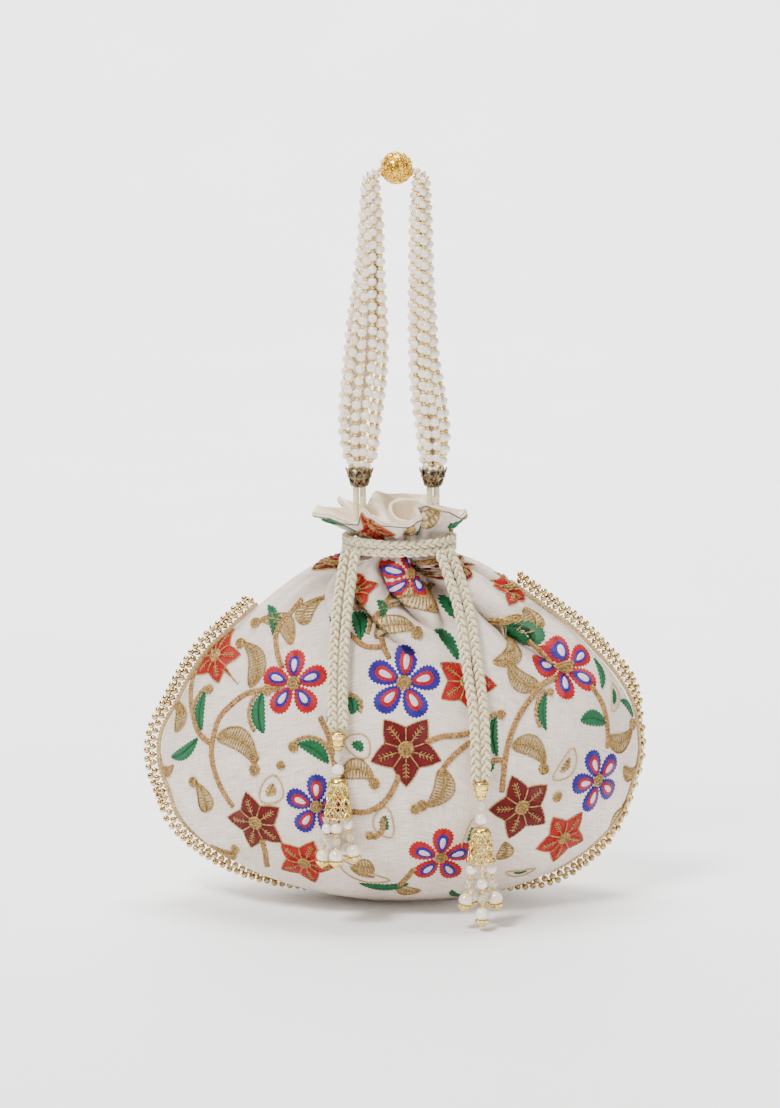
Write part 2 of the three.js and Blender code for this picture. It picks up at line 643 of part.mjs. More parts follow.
// The bell over a tassel's drops, from its mouth at height 0 up to its closed top.
function bellGeometry(height) {
  const shape = (share, lift) => [mix(bellTopRadius, bellRadius, share), height * lift];
  const outer = bellForm.map(({ share, lift }) => shape(share, lift));
  const roof = height - 2 * bellWall;
  const inner = outer.slice(1).map(([radius, up]) => [radius - bellWall, Math.min(up, roof)]);
  const profile = [[0, height], ...outer, ...inner.reverse(), [0, roof]];
  const punches = [];
  for (let i = 0; i < bellWindows; i++) {
    for (const { lift, turn } of bellPiercing) {
      const angle = (2 * Math.PI * (i + turn)) / bellWindows;
      punches.push(radialPunch(bellWindow, bellRadius, bellRadius, angle, height * lift));
    }
  }
  return pierced(turned(profile, beadSides), punches);
}

// The cap that closes a drawstring's two ends, from its narrow foot at height 0.
function endCapGeometry() {
  const foot = clearBeadRadius;
  const collar = 0.12 * endCapHeight;
  const profile = [
    [0, endCapHeight],
    [endCapRadius - collar, endCapHeight],
    [endCapRadius, endCapHeight - collar],
    [0.86 * endCapRadius, 0.5 * endCapHeight],
    [foot, 0],
    [0, 0],
  ];
  return turned(profile, beadSides);
}

// One strung drop from the top of its thread, at height 0, down to its flower cap.
function dropGeometry(pitch, lower) {
  const pearl = -(bellEngagement + lower + pearlRadius + fit);
  const capTop = pearl - 2 * pitch - flowerCapSeat * dropPearlRadius;
  const profile = [
    [0, 0],
    [threadRadius, 0],
    ...beadProfile(pearlRadius, pearlRadius, pearl),
    ...beadProfile(crystalRadius, crystalRadius, pearl - pitch),
    ...beadProfile(dropPearlRadius, dropPearlRadius, pearl - 2 * pitch).slice(0, -1),
    [flowerCapRadius, capTop],
    [0.5 * flowerCapRadius, capTop - flowerCapHeight],
    [0, capTop - flowerCapHeight],
  ];
  return turned(profile, beadSides);
}

// The filigree ball: a thin shell with a mouth on each side for the strands, pierced all round.
function ballGeometry() {
  const outer = [];
  const inner = [];
  const mouth = Math.asin(ballBore / ballRadius);
  const innerRadius = ballRadius - ballWall;
  const mouthInner = Math.asin(ballBore / innerRadius);
  for (let i = 0; i <= ballRows; i++) {
    const turn = mix(mouth, Math.PI - mouth, i / ballRows);
    const turnInner = mix(mouthInner, Math.PI - mouthInner, i / ballRows);
    outer.push([ballRadius * Math.sin(turn), ballRadius * Math.cos(turn)]);
    inner.unshift([innerRadius * Math.sin(turnInner), innerRadius * Math.cos(turnInner)]);
  }
  const shell = turned([...outer, ...inner, outer[0]], strandSides);
  const punches = [];
  for (let i = 0; i < ballWindows; i++) {
    punches.push(radialPunch(ballWindow, ballRadius, ballRadius, (2 * Math.PI * (i + 0.5)) / ballWindows, 0));
  }
  return pierced(shell, punches).rotateY(Math.PI / 2);
}

// The middle of a bundle at one row of its table.
function bundlePoint({ by, height, across }, route) {
  const fan = route.findLast((row) => row.by === "cap");
  const close = route.find((row) => row.by === "ball");
  const fromCap = (share) => handleFoot + share * handleCapHeight;
  const fromBall = (share) => ballHeight - share * ballRadius;
  let up = mix(fromCap(fan.height), fromBall(close.height), height);
  if (by === "cap") up = fromCap(height);
  if (by === "ball") up = fromBall(height);
  const share = (up - handleFoot) / (ballHeight - handleFoot);
  const sideways = by === "ball" ? ballAcross + across * ballRadius : across * handleSpread;
  return new THREE.Vector3(sideways, handleBack * (1 - Math.min(1, Math.max(0, share))), up);
}

// One of the handle's bundles of bead strings, as the closed form that its strands fill.
function bundleGeometry(route) {
  const points = route.map((row) => bundlePoint(row, route));
  const rings = points.map((at, i) => {
    const before = points[Math.max(0, i - 1)];
    const after = points[Math.min(points.length - 1, i + 1)];
    const along = after.clone().sub(before).normalize();
    const aside = new THREE.Vector3(along.z, 0, -along.x).normalize();
    const back = new THREE.Vector3().crossVectors(along, aside);
    const ring = [];
    for (let j = 0; j < strandSides; j++) {
      const turn = (2 * Math.PI * j) / strandSides;
      const wide = route[i].half * bundleHalf * Math.cos(turn);
      const thick = route[i].deep * bundleHalf * Math.sin(turn);
      ring.push(at.clone().addScaledVector(aside, wide).addScaledVector(back, thick));
    }
    return ring;
  });
  return tubeFromRings(rings);
}

// The pierced cone that gathers the strands' ends, from its foot at height 0.
function handleCapGeometry() {
  const profile = [
    [handleCapFoot - handleCapWall, 0],
    [handleCapFoot, 0],
    [mix(handleCapFoot, handleCapRadius, 0.55), 0.5 * handleCapHeight],
    [handleCapRadius, handleCapHeight],
    [handleCapRadius - handleCapWall, handleCapHeight],
    [mix(handleCapFoot, handleCapRadius, 0.55) - handleCapWall, 0.5 * handleCapHeight],
    [handleCapFoot - handleCapWall, 0],
  ];
  const punches = [];
  for (let i = 0; i < handleCapWindows; i++) {
    const turn = (2 * Math.PI * (i + 0.5)) / handleCapWindows;
    punches.push(radialPunch(handleCapWindow, handleCapRadius, handleCapRadius, turn, 0.62 * handleCapHeight));
  }
  return pierced(turned(profile, strandSides), punches);
}

// The doubled cord that ties a cap to the mouth of the pouch: two legs under one bend.
function tabGeometry() {
  const apart = tabCordRadius + tabLegGap / 2;
  const straight = tabLength - apart;
  const points = [new THREE.Vector3(-apart, 0, 0), new THREE.Vector3(-apart, 0, 0.5 * straight)];
  for (let i = 0; i <= bendSteps; i++) {
    const turn = Math.PI * (1 - i / bendSteps);
    points.push(new THREE.Vector3(apart * Math.cos(turn), 0, straight + apart * Math.sin(turn)));
  }
  points.push(new THREE.Vector3(apart, 0, 0.5 * straight), new THREE.Vector3(apart, 0, 0));
  const rings = points.map((at, i) => {
    const before = points[Math.max(0, i - 1)];
    const after = points[Math.min(points.length - 1, i + 1)];
    const along = after.clone().sub(before).normalize();
    const aside = new THREE.Vector3(along.z, 0, -along.x);
    const ring = [];
    for (let j = 0; j < cordSides; j++) {
      const turn = (2 * Math.PI * j) / cordSides;
      const out = at.clone().addScaledVector(aside, tabCordRadius * Math.cos(turn));
      ring.push(out.add(new THREE.Vector3(0, tabCordRadius * Math.sin(turn), 0)));
    }
    return ring;
  });
  return tubeFromRings(rings);
}

// Colours and finishes
const finish = (color, roughness, metalness = 0) => () =>
  new THREE.MeshStandardMaterial({ color, roughness, metalness });
const embroideredSilk = finish("#ded4cc", 0.75);
const creamSatin = finish("#eedec6", 0.45);
const goldBraid = finish("#d7b98c", 0.5, 0.4);
const antiqueBeads = finish("#c8b48c", 0.35, 0.8);
const ivoryCord = finish("#f0ebcd", 0.8);
const lightGold = finish("#ebd278", 0.3, 1);
const yellowGold = finish("#f0cd5a", 0.3, 1);
const antiqueBronze = finish("#6e5f4b", 0.45, 1);
const pearl = finish("#faf0e6", 0.25);
const clearGlass = finish("#f0e6d2", 0.1);

const reticule = new THREE.Group();
// The pouch is built up from the surface that it stands on, then hung from the handle's carrying point.
reticule.position.set(-ballAcross, 0, -(ballHeight - ballRadius));

function add(name, geometry, material, position = [0, 0, 0], parent = reticule) {
  const mesh = new THREE.Mesh(geometry, material());
  mesh.name = name;
  mesh.position.set(...position);
  parent.add(mesh);
  return mesh;
}

// Pouch
add("front_panel", panelGeometry(180, -fit / 2), embroideredSilk);
add("back_panel", panelGeometry(0, fit / 2), embroideredSilk);
add("mouth_lining", liningGeometry(), creamSatin);
add("seam_binding", seamBand(0, bindingWidth, bindingThickness), goldBraid);
const beadsFrom = bindingWidth + clothFit;
add("rim_beads", seamBand(beadsFrom, beadsFrom + rimBeadBand, rimBeadThickness), antiqueBeads);

// Drawstrings
const loopPitch = (waistCordDiameter + fit) / 2;
add("right_drawstring_loop", waistLoop(waistHeight + loopPitch), ivoryCord);
add("left_drawstring_loop", waistLoop(waistHeight - loopPitch), ivoryCord);
for (const [name, route] of Object.entries(tailRoutes)) add(name, tailGeometry(route), ivoryCord);

// Tassels, each from its end cap down
for (const [side, tassel] of Object.entries(tassels)) {
  const { across, capTop, capOut, bellOut, bellHeight, pitch, drops } = tassel;
  let height = capTop - endCapHeight;
  const stack = (share) => mix(capOut, bellOut, share);
  add(`${side}_end_cap`, endCapGeometry(), lightGold, [across, stack(0), height]);
  height -= fit + clearBeadHeight / 2;
  const bead = beadGeometry(clearBeadRadius, clearBeadHeight / 2);
  add(`${side}_clear_bead`, bead, clearGlass, [across, stack(0.25), height]);
  height -= clearBeadHeight / 2 + fit + spacerRadius;
  const spacer = beadGeometry(spacerRadius, spacerRadius);
  add(`${side}_spacer_pearl`, spacer, pearl, [across, stack(0.6), height]);
  height -= spacerRadius + fit + bellHeight;
  add(`${side}_bell_cap`, bellGeometry(bellHeight), lightGold, [across, bellOut, height]);
  const hanging = new THREE.Group();
  hanging.position.set(across, bellOut, height + bellEngagement);
  reticule.add(hanging);
  drops.forEach(({ angle, lean, lower }, i) => {
    const mouth = (bellRadius - bellWall) * Math.cos(Math.PI / beadSides) - threadRadius - fit;
    const ring = mouth - bellEngagement * Math.tan(lean * degrees);
    const turn = angle * degrees;
    const at = [ring * Math.cos(turn), ring * Math.sin(turn), 0];
    const drop = add(`${side}_drop_${i + 1}`, dropGeometry(pitch, lower), pearl, at, hanging);
    drop.rotation.order = "ZYX";
    drop.rotation.set(0, -lean * degrees, turn);
  });
}

// Handle
add("handle_ball", ballGeometry(), yellowGold, [ballAcross, 0, ballHeight]);
for (const [side, route] of Object.entries(handleRoutes)) {
  const across = route[0].across * handleSpread;
  add(`handle_strands_${side}`, bundleGeometry(route), pearl);
  add(`handle_cap_${side}`, handleCapGeometry(), antiqueBronze, [across, handleBack, handleFoot]);
  const tabTop = handleFoot + tabCapEntry;
  add(`handle_tab_${side}`, tabGeometry(), ivoryCord, [across, handleBack, tabTop - tabLength - tabCordRadius]);
}

export default reticule;
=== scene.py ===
"""Dress the drawstring reticule: an embroidered silk pouch, plaited drawstrings with tassels, and a handle
of bead strings. Shapes are worked out in millimetres from the middle of the surface under the pouch, with
+Z up and the front towards -Y, and are carried into the frame, in metres, when a mesh is made."""

import logging
from dataclasses import dataclass, field, replace
from enum import Enum
from functools import cached_property

import bpy
import numpy as np
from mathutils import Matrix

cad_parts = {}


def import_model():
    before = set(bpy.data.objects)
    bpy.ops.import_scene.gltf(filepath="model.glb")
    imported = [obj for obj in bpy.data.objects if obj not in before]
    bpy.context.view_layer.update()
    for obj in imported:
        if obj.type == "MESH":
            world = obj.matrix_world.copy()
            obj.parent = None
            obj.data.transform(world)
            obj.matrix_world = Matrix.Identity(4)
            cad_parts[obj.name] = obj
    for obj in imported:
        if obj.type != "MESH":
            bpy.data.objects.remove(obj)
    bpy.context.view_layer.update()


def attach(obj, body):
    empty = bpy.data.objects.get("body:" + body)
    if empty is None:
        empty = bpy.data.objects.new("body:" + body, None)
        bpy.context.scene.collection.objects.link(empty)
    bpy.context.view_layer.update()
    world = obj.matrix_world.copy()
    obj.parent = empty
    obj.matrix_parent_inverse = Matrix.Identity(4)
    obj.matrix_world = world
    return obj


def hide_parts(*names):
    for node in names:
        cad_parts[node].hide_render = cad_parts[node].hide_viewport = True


Array = np.ndarray
Socket = bpy.types.NodeSocket
Piece = bpy.types.Object
LOG = logging.getLogger("reticule")
MILLIMETRE = 0.001
FULL_TURN = 2 * np.pi
# From the middle of the surface under the pouch to the point that carries it, in millimetres
CARRY_SHIFT = np.array([0.8, 0.0, -332.3])
BODY = "root"


# Meshes


@dataclass
class Surface:
    """Part of a piece: points in millimetres, faces of four and of three corners, and a UV in millimetres."""

    points: Array
    quads: Array
    tris: Array = field(default_factory=lambda: np.zeros((0, 3), int))
    uv: Array | None = None

    def __post_init__(self) -> None:
        """Give points without a UV one that is zero."""
        if self.uv is None:
            self.uv = np.zeros((len(self.points), 2))

    def turned_over(self) -> "Surface":
        """The same surface with its faces looking the other way."""
        return Surface(self.points, self.quads[:, ::-1], self.tris[:, ::-1], self.uv)


def joined(surfaces: list[Surface]) -> Surface:
    """Put surfaces side by side in one.

    Args:
        surfaces: the surfaces, in order.

    Returns:
        One surface, with the faces renumbered by the points before them.
    """
    starts = np.cumsum([0] + [len(s.points) for s in surfaces[:-1]])
    return Surface(
        np.concatenate([s.points for s in surfaces]),
        np.concatenate([s.quads + start for s, start in zip(surfaces, starts)]),
        np.concatenate([s.tris + start for s, start in zip(surfaces, starts)]),
        np.concatenate([s.uv for s in surfaces]),
    )


def grid_quads(rows: int, columns: int, round_columns: bool = False, round_rows: bool = False) -> Array:
    """Faces of a grid of points, numbered row by row. They face along (next column) x (next row).

    Args:
        rows: number of rows.
        columns: number of columns.
        round_columns: whether the last column joins the first.
        round_rows: whether the last row joins the first.

    Returns:
        Corners of the faces, (n, 4).
    """
    i, j = np.meshgrid(
        np.arange(rows if round_rows else rows - 1),
        np.arange(columns if round_columns else columns - 1),
        indexing="ij",
    )
    up, on = (i + 1) % rows, (j + 1) % columns
    corners = [i * columns + j, i * columns + on, up * columns + on, up * columns + j]
    return np.stack(corners, -1).reshape(-1, 4)


def fan(ring: Array, middle: int, flip: bool) -> Array:
    """Triangles from a closed ring of points to one point.

    Args:
        ring: numbers of the ring's points, in order.
        middle: number of the point.
        flip: whether to turn the triangles over.

    Returns:
        Corners of the triangles, (n, 3).
    """
    after = np.roll(ring, -1)
    centre = np.full_like(ring, middle)
    return np.stack([after, ring, centre] if flip else [ring, after, centre], -1)


def closed_rings(rings: Array, uv: Array) -> Surface:
    """A tube of rings, (rows, columns, 3), with each end closed on its middle.

    Args:
        rings: points, each row a ring that closes on itself.
        uv: the points' UVs, (rows, columns, 2).

    Returns:
        The closed surface.
    """
    rows, columns = rings.shape[:2]
    ends = np.stack([rings[0].mean(0), rings[-1].mean(0)])
    end_uv = np.stack([uv[0].mean(0), uv[-1].mean(0)])
    first = np.arange(columns)
    count = rows * columns
    tris = np.concatenate([fan(first, count, True), fan(first + count - columns, count + 1, False)])
    return Surface(
        np.concatenate([rings.reshape(-1, 3), ends]),
        grid_quads(rows, columns, round_columns=True),
        tris,
        np.concatenate([uv.reshape(-1, 2), end_uv]),
    )


def unit(vectors: Array) -> Array:
    """Vectors at length 1."""
    return vectors / np.maximum(np.linalg.norm(vectors, axis=-1, keepdims=True), 1e-9)


def arc_lengths(path: Array) -> Array:
    """Distance along a path to each of its points: the sum of the steps before it."""
    return np.concatenate([[0.0], np.cumsum(np.linalg.norm(np.diff(path, axis=0), axis=1))])


def cubic(a: Array, b: Array, c: Array, d: Array, t: Array) -> Array:
    """The Catmull-Rom cubic from b, at t of 0, to c, at t of 1, with a and d as their outer neighbours."""
    return 0.5 * (2 * b + (c - a) * t + (2 * a - 5 * b + 4 * c - d) * t**2 + (3 * b - a - 3 * c + d) * t**3)


def smooth_path(points: Array, step: float, ring: bool = False) -> Array:
    """A smooth curve through points, at even steps: each span is a Catmull-Rom cubic.

    Args:
        points: the points, (n, k).
        step: distance between the curve's points.
        ring: whether the curve runs back into its start, which is then not repeated.

    Returns:
        The curve's points, (m, k).
    """
    points = np.asarray(points, float)
    if ring:
        control = np.concatenate([points[-1:], points, points[:2]])
    else:
        control = np.concatenate([2 * points[:1] - points[1:2], points, 2 * points[-1:] - points[-2:-1]])
    t = np.linspace(0, 1, 24, endpoint=False)[None, :, None]
    a, b, c, d = (control[k : len(control) - 3 + k, None] for k in range(4))
    spans = cubic(a, b, c, d, t)
    dense = np.concatenate([spans.reshape(-1, points.shape[1]), control[-2:-1]])
    along = arc_lengths(dense)
    count = max(3, int(round(along[-1] / step)) + 1)
    places = np.linspace(0, along[-1], count)
    even = np.stack([np.interp(places, along, dense[:, k]) for k in range(points.shape[1])], -1)
    return even[:-1] if ring else even


def headings(path: Array, ring: bool = False) -> Array:
    """Directions in which a path runs at its points, from each point's neighbours.

    Args:
        path: the points, (n, k).
        ring: whether the path closes on itself.

    Returns:
        The directions at length 1, (n, k).
    """
    if ring:
        return unit(np.roll(path, -1, 0) - np.roll(path, 1, 0))
    return unit(np.gradient(path, axis=0))


def tube(path: Array, radius: float | Array, sides: int, aside: Array, ring: bool = False) -> Surface:
    """A round tube: at each point a circle square to the path, counted from the side nearest to `aside`.

    Args:
        path: the middle line, (n, 3).
        radius: of the tube, one or n.
        sides: corners of the circle.
        aside: direction, or n directions, not along the path.
        ring: whether the path closes on itself.

    Returns:
        The tube, with its ends closed. U is the distance along it and V the way round it.
    """
    along = headings(path, ring)
    across = unit(np.cross(along, np.broadcast_to(aside, path.shape)))
    over = np.cross(across, along)
    turn = np.linspace(0, FULL_TURN, sides, endpoint=False)
    width = np.broadcast_to(np.asarray(radius, float), len(path))[:, None, None]
    spoke = np.cos(turn)[None, :, None] * over[:, None] + np.sin(turn)[None, :, None] * across[:, None]
    rings = path[:, None] + width * spoke
    u = np.broadcast_to(arc_lengths(path)[:, None], rings.shape[:2])
    v = np.broadcast_to(turn[None] * float(np.mean(radius)), rings.shape[:2])
    uv = np.stack([u, v], -1)
    if ring:
        quads = grid_quads(len(path), sides, round_columns=True, round_rows=True)
        return Surface(rings.reshape(-1, 3), quads, uv=uv.reshape(-1, 2))
    return closed_rings(rings, uv)


def turned(profile: Array, sides: int) -> Surface:
    """A lathe form about +Z: each radius and height of the profile, from below to above, is a circle.

    Args:
        profile: radii and heights, (n, 2).
        sides: corners of a circle.

    Returns:
        The form, closed on its axis at both ends.
    """
    profile = np.asarray(profile, float)
    turn = np.linspace(0, FULL_TURN, sides, endpoint=False)
    r, z = profile[:, :1], profile[:, 1:]
    rings = np.stack([r * np.cos(turn), r * np.sin(turn), np.broadcast_to(z, (len(r), sides))], -1)
    v = np.broadcast_to(arc_lengths(profile)[:, None], rings.shape[:2])
    uv = np.stack([np.broadcast_to(turn * profile[:, 0].max(), rings.shape[:2]), v], -1)
    return closed_rings(rings, uv)


def ball(steps: int) -> Surface:
    """A unit ball of four-cornered faces: the faces of a cube in steps x steps, blown up to the ball.

    Args:
        steps: faces along an edge of the cube.

    Returns:
        The ball. Its U is the longitude and V the height.
    """
    grid = np.tan(np.linspace(-np.pi / 4, np.pi / 4, steps + 1))
    a, b = np.meshgrid(grid, grid, indexing="ij")
    one = np.ones_like(a)
    sides = [(one, a, b), (-one, b, a), (b, one, a), (a, -one, b), (a, b, one), (b, a, -one)]
    points = unit(np.concatenate([np.stack(s, -1).reshape(-1, 3) for s in sides]))
    quads = grid_quads(steps + 1, steps + 1)[:, ::-1]
    quads = np.concatenate([quads + k * len(points) // 6 for k in range(6)])
    _, first, where = np.unique(np.round(points, 6), axis=0, return_index=True, return_inverse=True)
    points = points[first]
    uv = np.stack([np.arctan2(points[:, 1], points[:, 0]), points[:, 2]], -1)
    return Surface(points, where.reshape(-1)[quads], uv=uv)


def stamped(shape: Surface, places: Array, scales: Array, upright: Array | None = None) -> Surface:
    """Copies of a shape, each scaled, turned and moved.

    Args:
        shape: the shape, about its own origin.
        places: where each copy's origin goes, (n, 3).
        scales: each copy's size, (n,) or (n, 3) along its own axes.
        upright: the direction of each copy's own Z, (n, 3), or None where it stays upright.

    Returns:
        All the copies in one surface.
    """
    places = np.asarray(places, float)
    scales = np.asarray(scales, float)
    scales = np.broadcast_to(scales[:, None] if scales.ndim == 1 else scales, places.shape)
    local = shape.points[None] * scales[:, None]
    if upright is not None:
        z = unit(np.broadcast_to(upright, places.shape))
        helper = np.where(np.abs(z[:, :1]) < 0.8, [[1.0, 0, 0]], [[0, 1.0, 0]])
        y = unit(np.cross(z, helper))
        x = np.cross(y, z)
        local = np.einsum("npk,nkc->npc", local, np.stack([x, y, z], 1))
    shift = np.arange(len(places))[:, None, None] * len(shape.points)
    return Surface(
        (local + places[:, None]).reshape(-1, 3),
        (shape.quads[None] + shift).reshape(-1, 4),
        (shape.tris[None] + shift).reshape(-1, 3),
        np.tile(shape.uv, (len(places), 1)),
    )


def plait(
    path: Array,
    across: Array,
    width: float,
    depth: float,
    period: float,
    yarn: float,
    ring: bool = False,
    start: float = 0.0,
) -> Surface:
    """Three yarns plaited along a path: each swings sideways as a sine and, twice as fast, forwards and back.

    Args:
        path: the plait's middle line.
        across: direction of the plait's width, one or one per point.
        width: how far a yarn's middle swings sideways.
        depth: how far it swings forwards and back.
        period: length in which a yarn comes back to its place.
        yarn: a yarn's radius.
        ring: whether the path closes on itself.
        start: share of a period by which the pattern is ahead.

    Returns:
        The three yarns.
    """
    along = headings(path, ring)
    side = unit(np.broadcast_to(across, path.shape) - along * np.sum(along * across, -1, keepdims=True))
    over = np.cross(along, side)
    reach = arc_lengths(np.concatenate([path, path[:1]]) if ring else path)
    periods = max(1, round(reach[-1] / period)) if ring else reach[-1] / period
    phase = FULL_TURN * (periods * reach[: len(path)] / reach[-1] + start)
    yarns = []
    for k in range(3):
        turn = (phase + k * FULL_TURN / 3)[:, None]
        middle = path + side * width * np.sin(turn) + over * depth * np.sin(2 * turn)
        yarns.append(tube(middle, yarn, 8, over, ring))
    return joined(yarns)


def twisted(
    path: Array, normals: Array, radius: float, pitch: float, strands: int = 2, ring: bool = False
) -> Surface:
    """Strands laid round each other along a path: each is a helix about it, half sunk in what it lies on.

    Args:
        path: the cord's middle line.
        normals: direction away from what it lies on, one or one per point.
        radius: of the whole cord.
        pitch: length of one turn.
        strands: number of strands.
        ring: whether the path closes on itself.

    Returns:
        The strands.
    """
    along = headings(path, ring)
    side = unit(np.cross(along, np.broadcast_to(normals, path.shape)))
    over = np.cross(side, along)
    reach = arc_lengths(np.concatenate([path, path[:1]]) if ring else path)
    turns = max(1, round(reach[-1] / pitch)) if ring else reach[-1] / pitch
    phase = FULL_TURN * turns * reach[: len(path)] / reach[-1]
    result = []
    for k in range(strands):
        turn = (phase + k * FULL_TURN / strands)[:, None]
        middle = path + 0.5 * radius * (side * np.cos(turn) + over * np.sin(turn))
        result.append(tube(middle, 0.56 * radius, 5, over, ring))
    return joined(result)


def make_piece(name: str, surface: Surface, material: bpy.types.Material) -> Piece:
    """Make a surface a piece of the scene, in the frame and in metres.

    Args:
        name: the piece's name.
        surface: its points in millimetres, and its faces.
        material: its finish.

    Returns:
        The piece, riding on the body, with its object at the origin.
    """
    mesh = bpy.data.meshes.new(name)
    points = (surface.points + CARRY_SHIFT) * MILLIMETRE
    mesh.from_pydata(points.tolist(), [], surface.quads.tolist() + surface.tris.tolist())
    corners = np.zeros(len(mesh.loops), np.int32)
    mesh.loops.foreach_get("vertex_index", corners)
    mesh.uv_layers.new(name="UVMap").data.foreach_set("uv", surface.uv[corners].astype(np.float32).ravel())
    mesh.polygons.foreach_set("use_smooth", np.ones(len(mesh.polygons), bool))
    mesh.materials.append(material)
    mesh.update()
    piece = bpy.data.objects.new(name, mesh)
    bpy.context.scene.collection.objects.link(piece)
    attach(piece, BODY)
    LOG.info("%s: %d faces", name, len(mesh.polygons))
    return piece


# Finishes


def paint(red: int, green: int, blue: int) -> tuple[float, float, float, float]:
    """Turn a display colour into the linear colour that a shader takes, by the sRGB curve.

    Args:
        red: from 0 to 255.
        green: from 0 to 255.
        blue: from 0 to 255.

    Returns:
        Linear red, green and blue, and an alpha of 1.
    """
    value = np.array([red, green, blue]) / 255
    linear = np.where(value <= 0.04045, value / 12.92, ((value + 0.055) / 1.055) ** 2.4)
    return (*linear.tolist(), 1.0)


class Bench:
    """A new material and short ways to wire its nodes."""

    def __init__(self, name: str) -> None:
        """Start a material with one Principled shader."""
        self.material = bpy.data.materials.new(name)
        self.material.use_nodes = True
        self.tree = self.material.node_tree
        self.shader = self.tree.nodes["Principled BSDF"]

    def add(self, kind: str, settings: dict, inputs: dict) -> bpy.types.Node:
        """Add a node.

        Args:
            kind: the node's type after "ShaderNode".
            settings: its own settings.
            inputs: a value or another node's socket for each named or numbered input.

        Returns:
            The node.
        """
        node = self.tree.nodes.new("ShaderNode" + kind)
        for key, value in settings.items():
            setattr(node, key, value)
        for key, value in inputs.items():
            if isinstance(value, Socket):
                self.tree.links.new(value, node.inputs[key])
            else:
                node.inputs[key].default_value = value
        return node

    def place(self, on_surface: bool, scale: tuple[float, float, float]) -> Socket:
        """Add coordinates in millimetres times a scale.

        Args:
            on_surface: whether they are the piece's UV map and not the object's own space.
            scale: along each axis.

        Returns:
            The coordinates' socket.
        """
        if on_surface:
            source = self.add("UVMap", {"uv_map": "UVMap"}, {}).outputs["UV"]
        else:
            source = self.add("TexCoord", {}, {}).outputs["Object"]
            scale = tuple(s / MILLIMETRE for s in scale)
        return self.add("Mapping", {}, {"Vector": source, "Scale": scale}).outputs["Vector"]

    def noise(self, vector: Socket, scale: float, detail: float = 2.0) -> Socket:
        """Soft noise, from 0 to 1."""
        return self.add("TexNoise", {}, {"Vector": vector, "Scale": scale, "Detail": detail}).outputs["Fac"]

    def bands(self, vector: Socket, pitch: float, axis: str = "X", stray: float = 0.0) -> Socket:
        """Even bands across an axis: a sine of the given pitch in millimetres, with some stray."""
        inputs = {"Vector": vector, "Scale": FULL_TURN / 20 / pitch, "Distortion": stray, "Detail Scale": 0.6}
        return self.add("TexWave", {"bands_direction": axis}, inputs).outputs["Fac"]

    def mixed(self, first: tuple, second: tuple, share: Socket, low: float = 0.3, high: float = 0.7) -> Socket:
        """Add a colour between two.

        Args:
            first: the colour where the value is low.
            second: the colour where it is high.
            share: the value.
            low: the value up to which it is the first.
            high: the value from which it is the second.

        Returns:
            The colour's socket.
        """
        ramp = self.add("ValToRGB", {}, {"Fac": share})
        ramp.color_ramp.elements[0].position = low
        ramp.color_ramp.elements[0].color = first
        ramp.color_ramp.elements[1].position = high
        ramp.color_ramp.elements[1].color = second
        return ramp.outputs["Color"]

    def maths(self, operation: str, first: Socket | float, second: Socket | float) -> Socket:
        """One sum on two values."""
        return self.add("Math", {"operation": operation}, {0: first, 1: second}).outputs[0]

    def blend(self, first: Socket, second: Socket, share: float) -> Socket:
        """The first value times its share, plus the second times the rest."""
        return self.maths("ADD", self.maths("MULTIPLY", first, share), self.maths("MULTIPLY", second, 1 - share))

    def finish(self, colour: Socket | tuple, relief: Socket | None, depth: float, facts: dict) -> bpy.types.Material:
        """Wire colour and relief to the shader and set its plain facts.

        Args:
            colour: of the surface.
            relief: height from 0 to 1, or None.
            depth: of the relief, in millimetres.
            facts: the shader's own numbers by socket name.

        Returns:
            The material.
        """
        if isinstance(colour, Socket):
            self.tree.links.new(colour, self.shader.inputs["Base Color"])
        else:
            self.shader.inputs["Base Color"].default_value = colour
        for key, value in facts.items():
            if isinstance(value, Socket):
                self.tree.links.new(value, self.shader.inputs[key])
            else:
                self.shader.inputs[key].default_value = value
        if relief is not None:
            bump = self.add("Bump", {}, {"Height": relief, "Distance": depth * MILLIMETRE, "Strength": 1.0})
            self.tree.links.new(bump.outputs["Normal"], self.shader.inputs["Normal"])
        return self.material


@dataclass(frozen=True)
class RawSilk:
    """Plain-woven raw silk: fine crossing threads with thicker slubs, mostly across the cloth."""

    name: str = "raw_silk"
    light: tuple = paint(246, 232, 219)
    shade: tuple = paint(202, 182, 166)
    thread: float = 0.42  # mm between threads
    relief: float = 0.16  # mm

    def material(self) -> bpy.types.Material:
        """Colour from slubs along U and V. Relief from both sets of threads."""
        bench = Bench(self.name)
        flat = bench.place(True, (1, 1, 1))
        weft = bench.noise(bench.place(True, (0.12, 2.2, 1)), 1.0, 3)
        warp = bench.noise(bench.place(True, (2.6, 0.1, 1)), 1.0, 3)
        patches = bench.noise(flat, 0.05, 3)
        slubs = bench.maths("ADD", bench.maths("MULTIPLY", weft, 0.5), bench.maths("MULTIPLY", warp, 0.3))
        tone = bench.maths("ADD", slubs, bench.maths("MULTIPLY", patches, 0.2))
        upright, across = (bench.bands(flat, self.thread, axis, 0.6) for axis in "XY")
        threads = bench.maths("MULTIPLY", upright, across)
        relief = bench.maths("ADD", bench.maths("MULTIPLY", threads, 0.5), slubs)
        colour = bench.mixed(self.shade, self.light, tone, 0.38, 0.6)
        facts = {"Roughness": 0.72, "Sheen Weight": 0.25, "Sheen Roughness": 0.4, "Specular IOR Level": 0.3}
        return bench.finish(colour, relief, self.relief, facts)


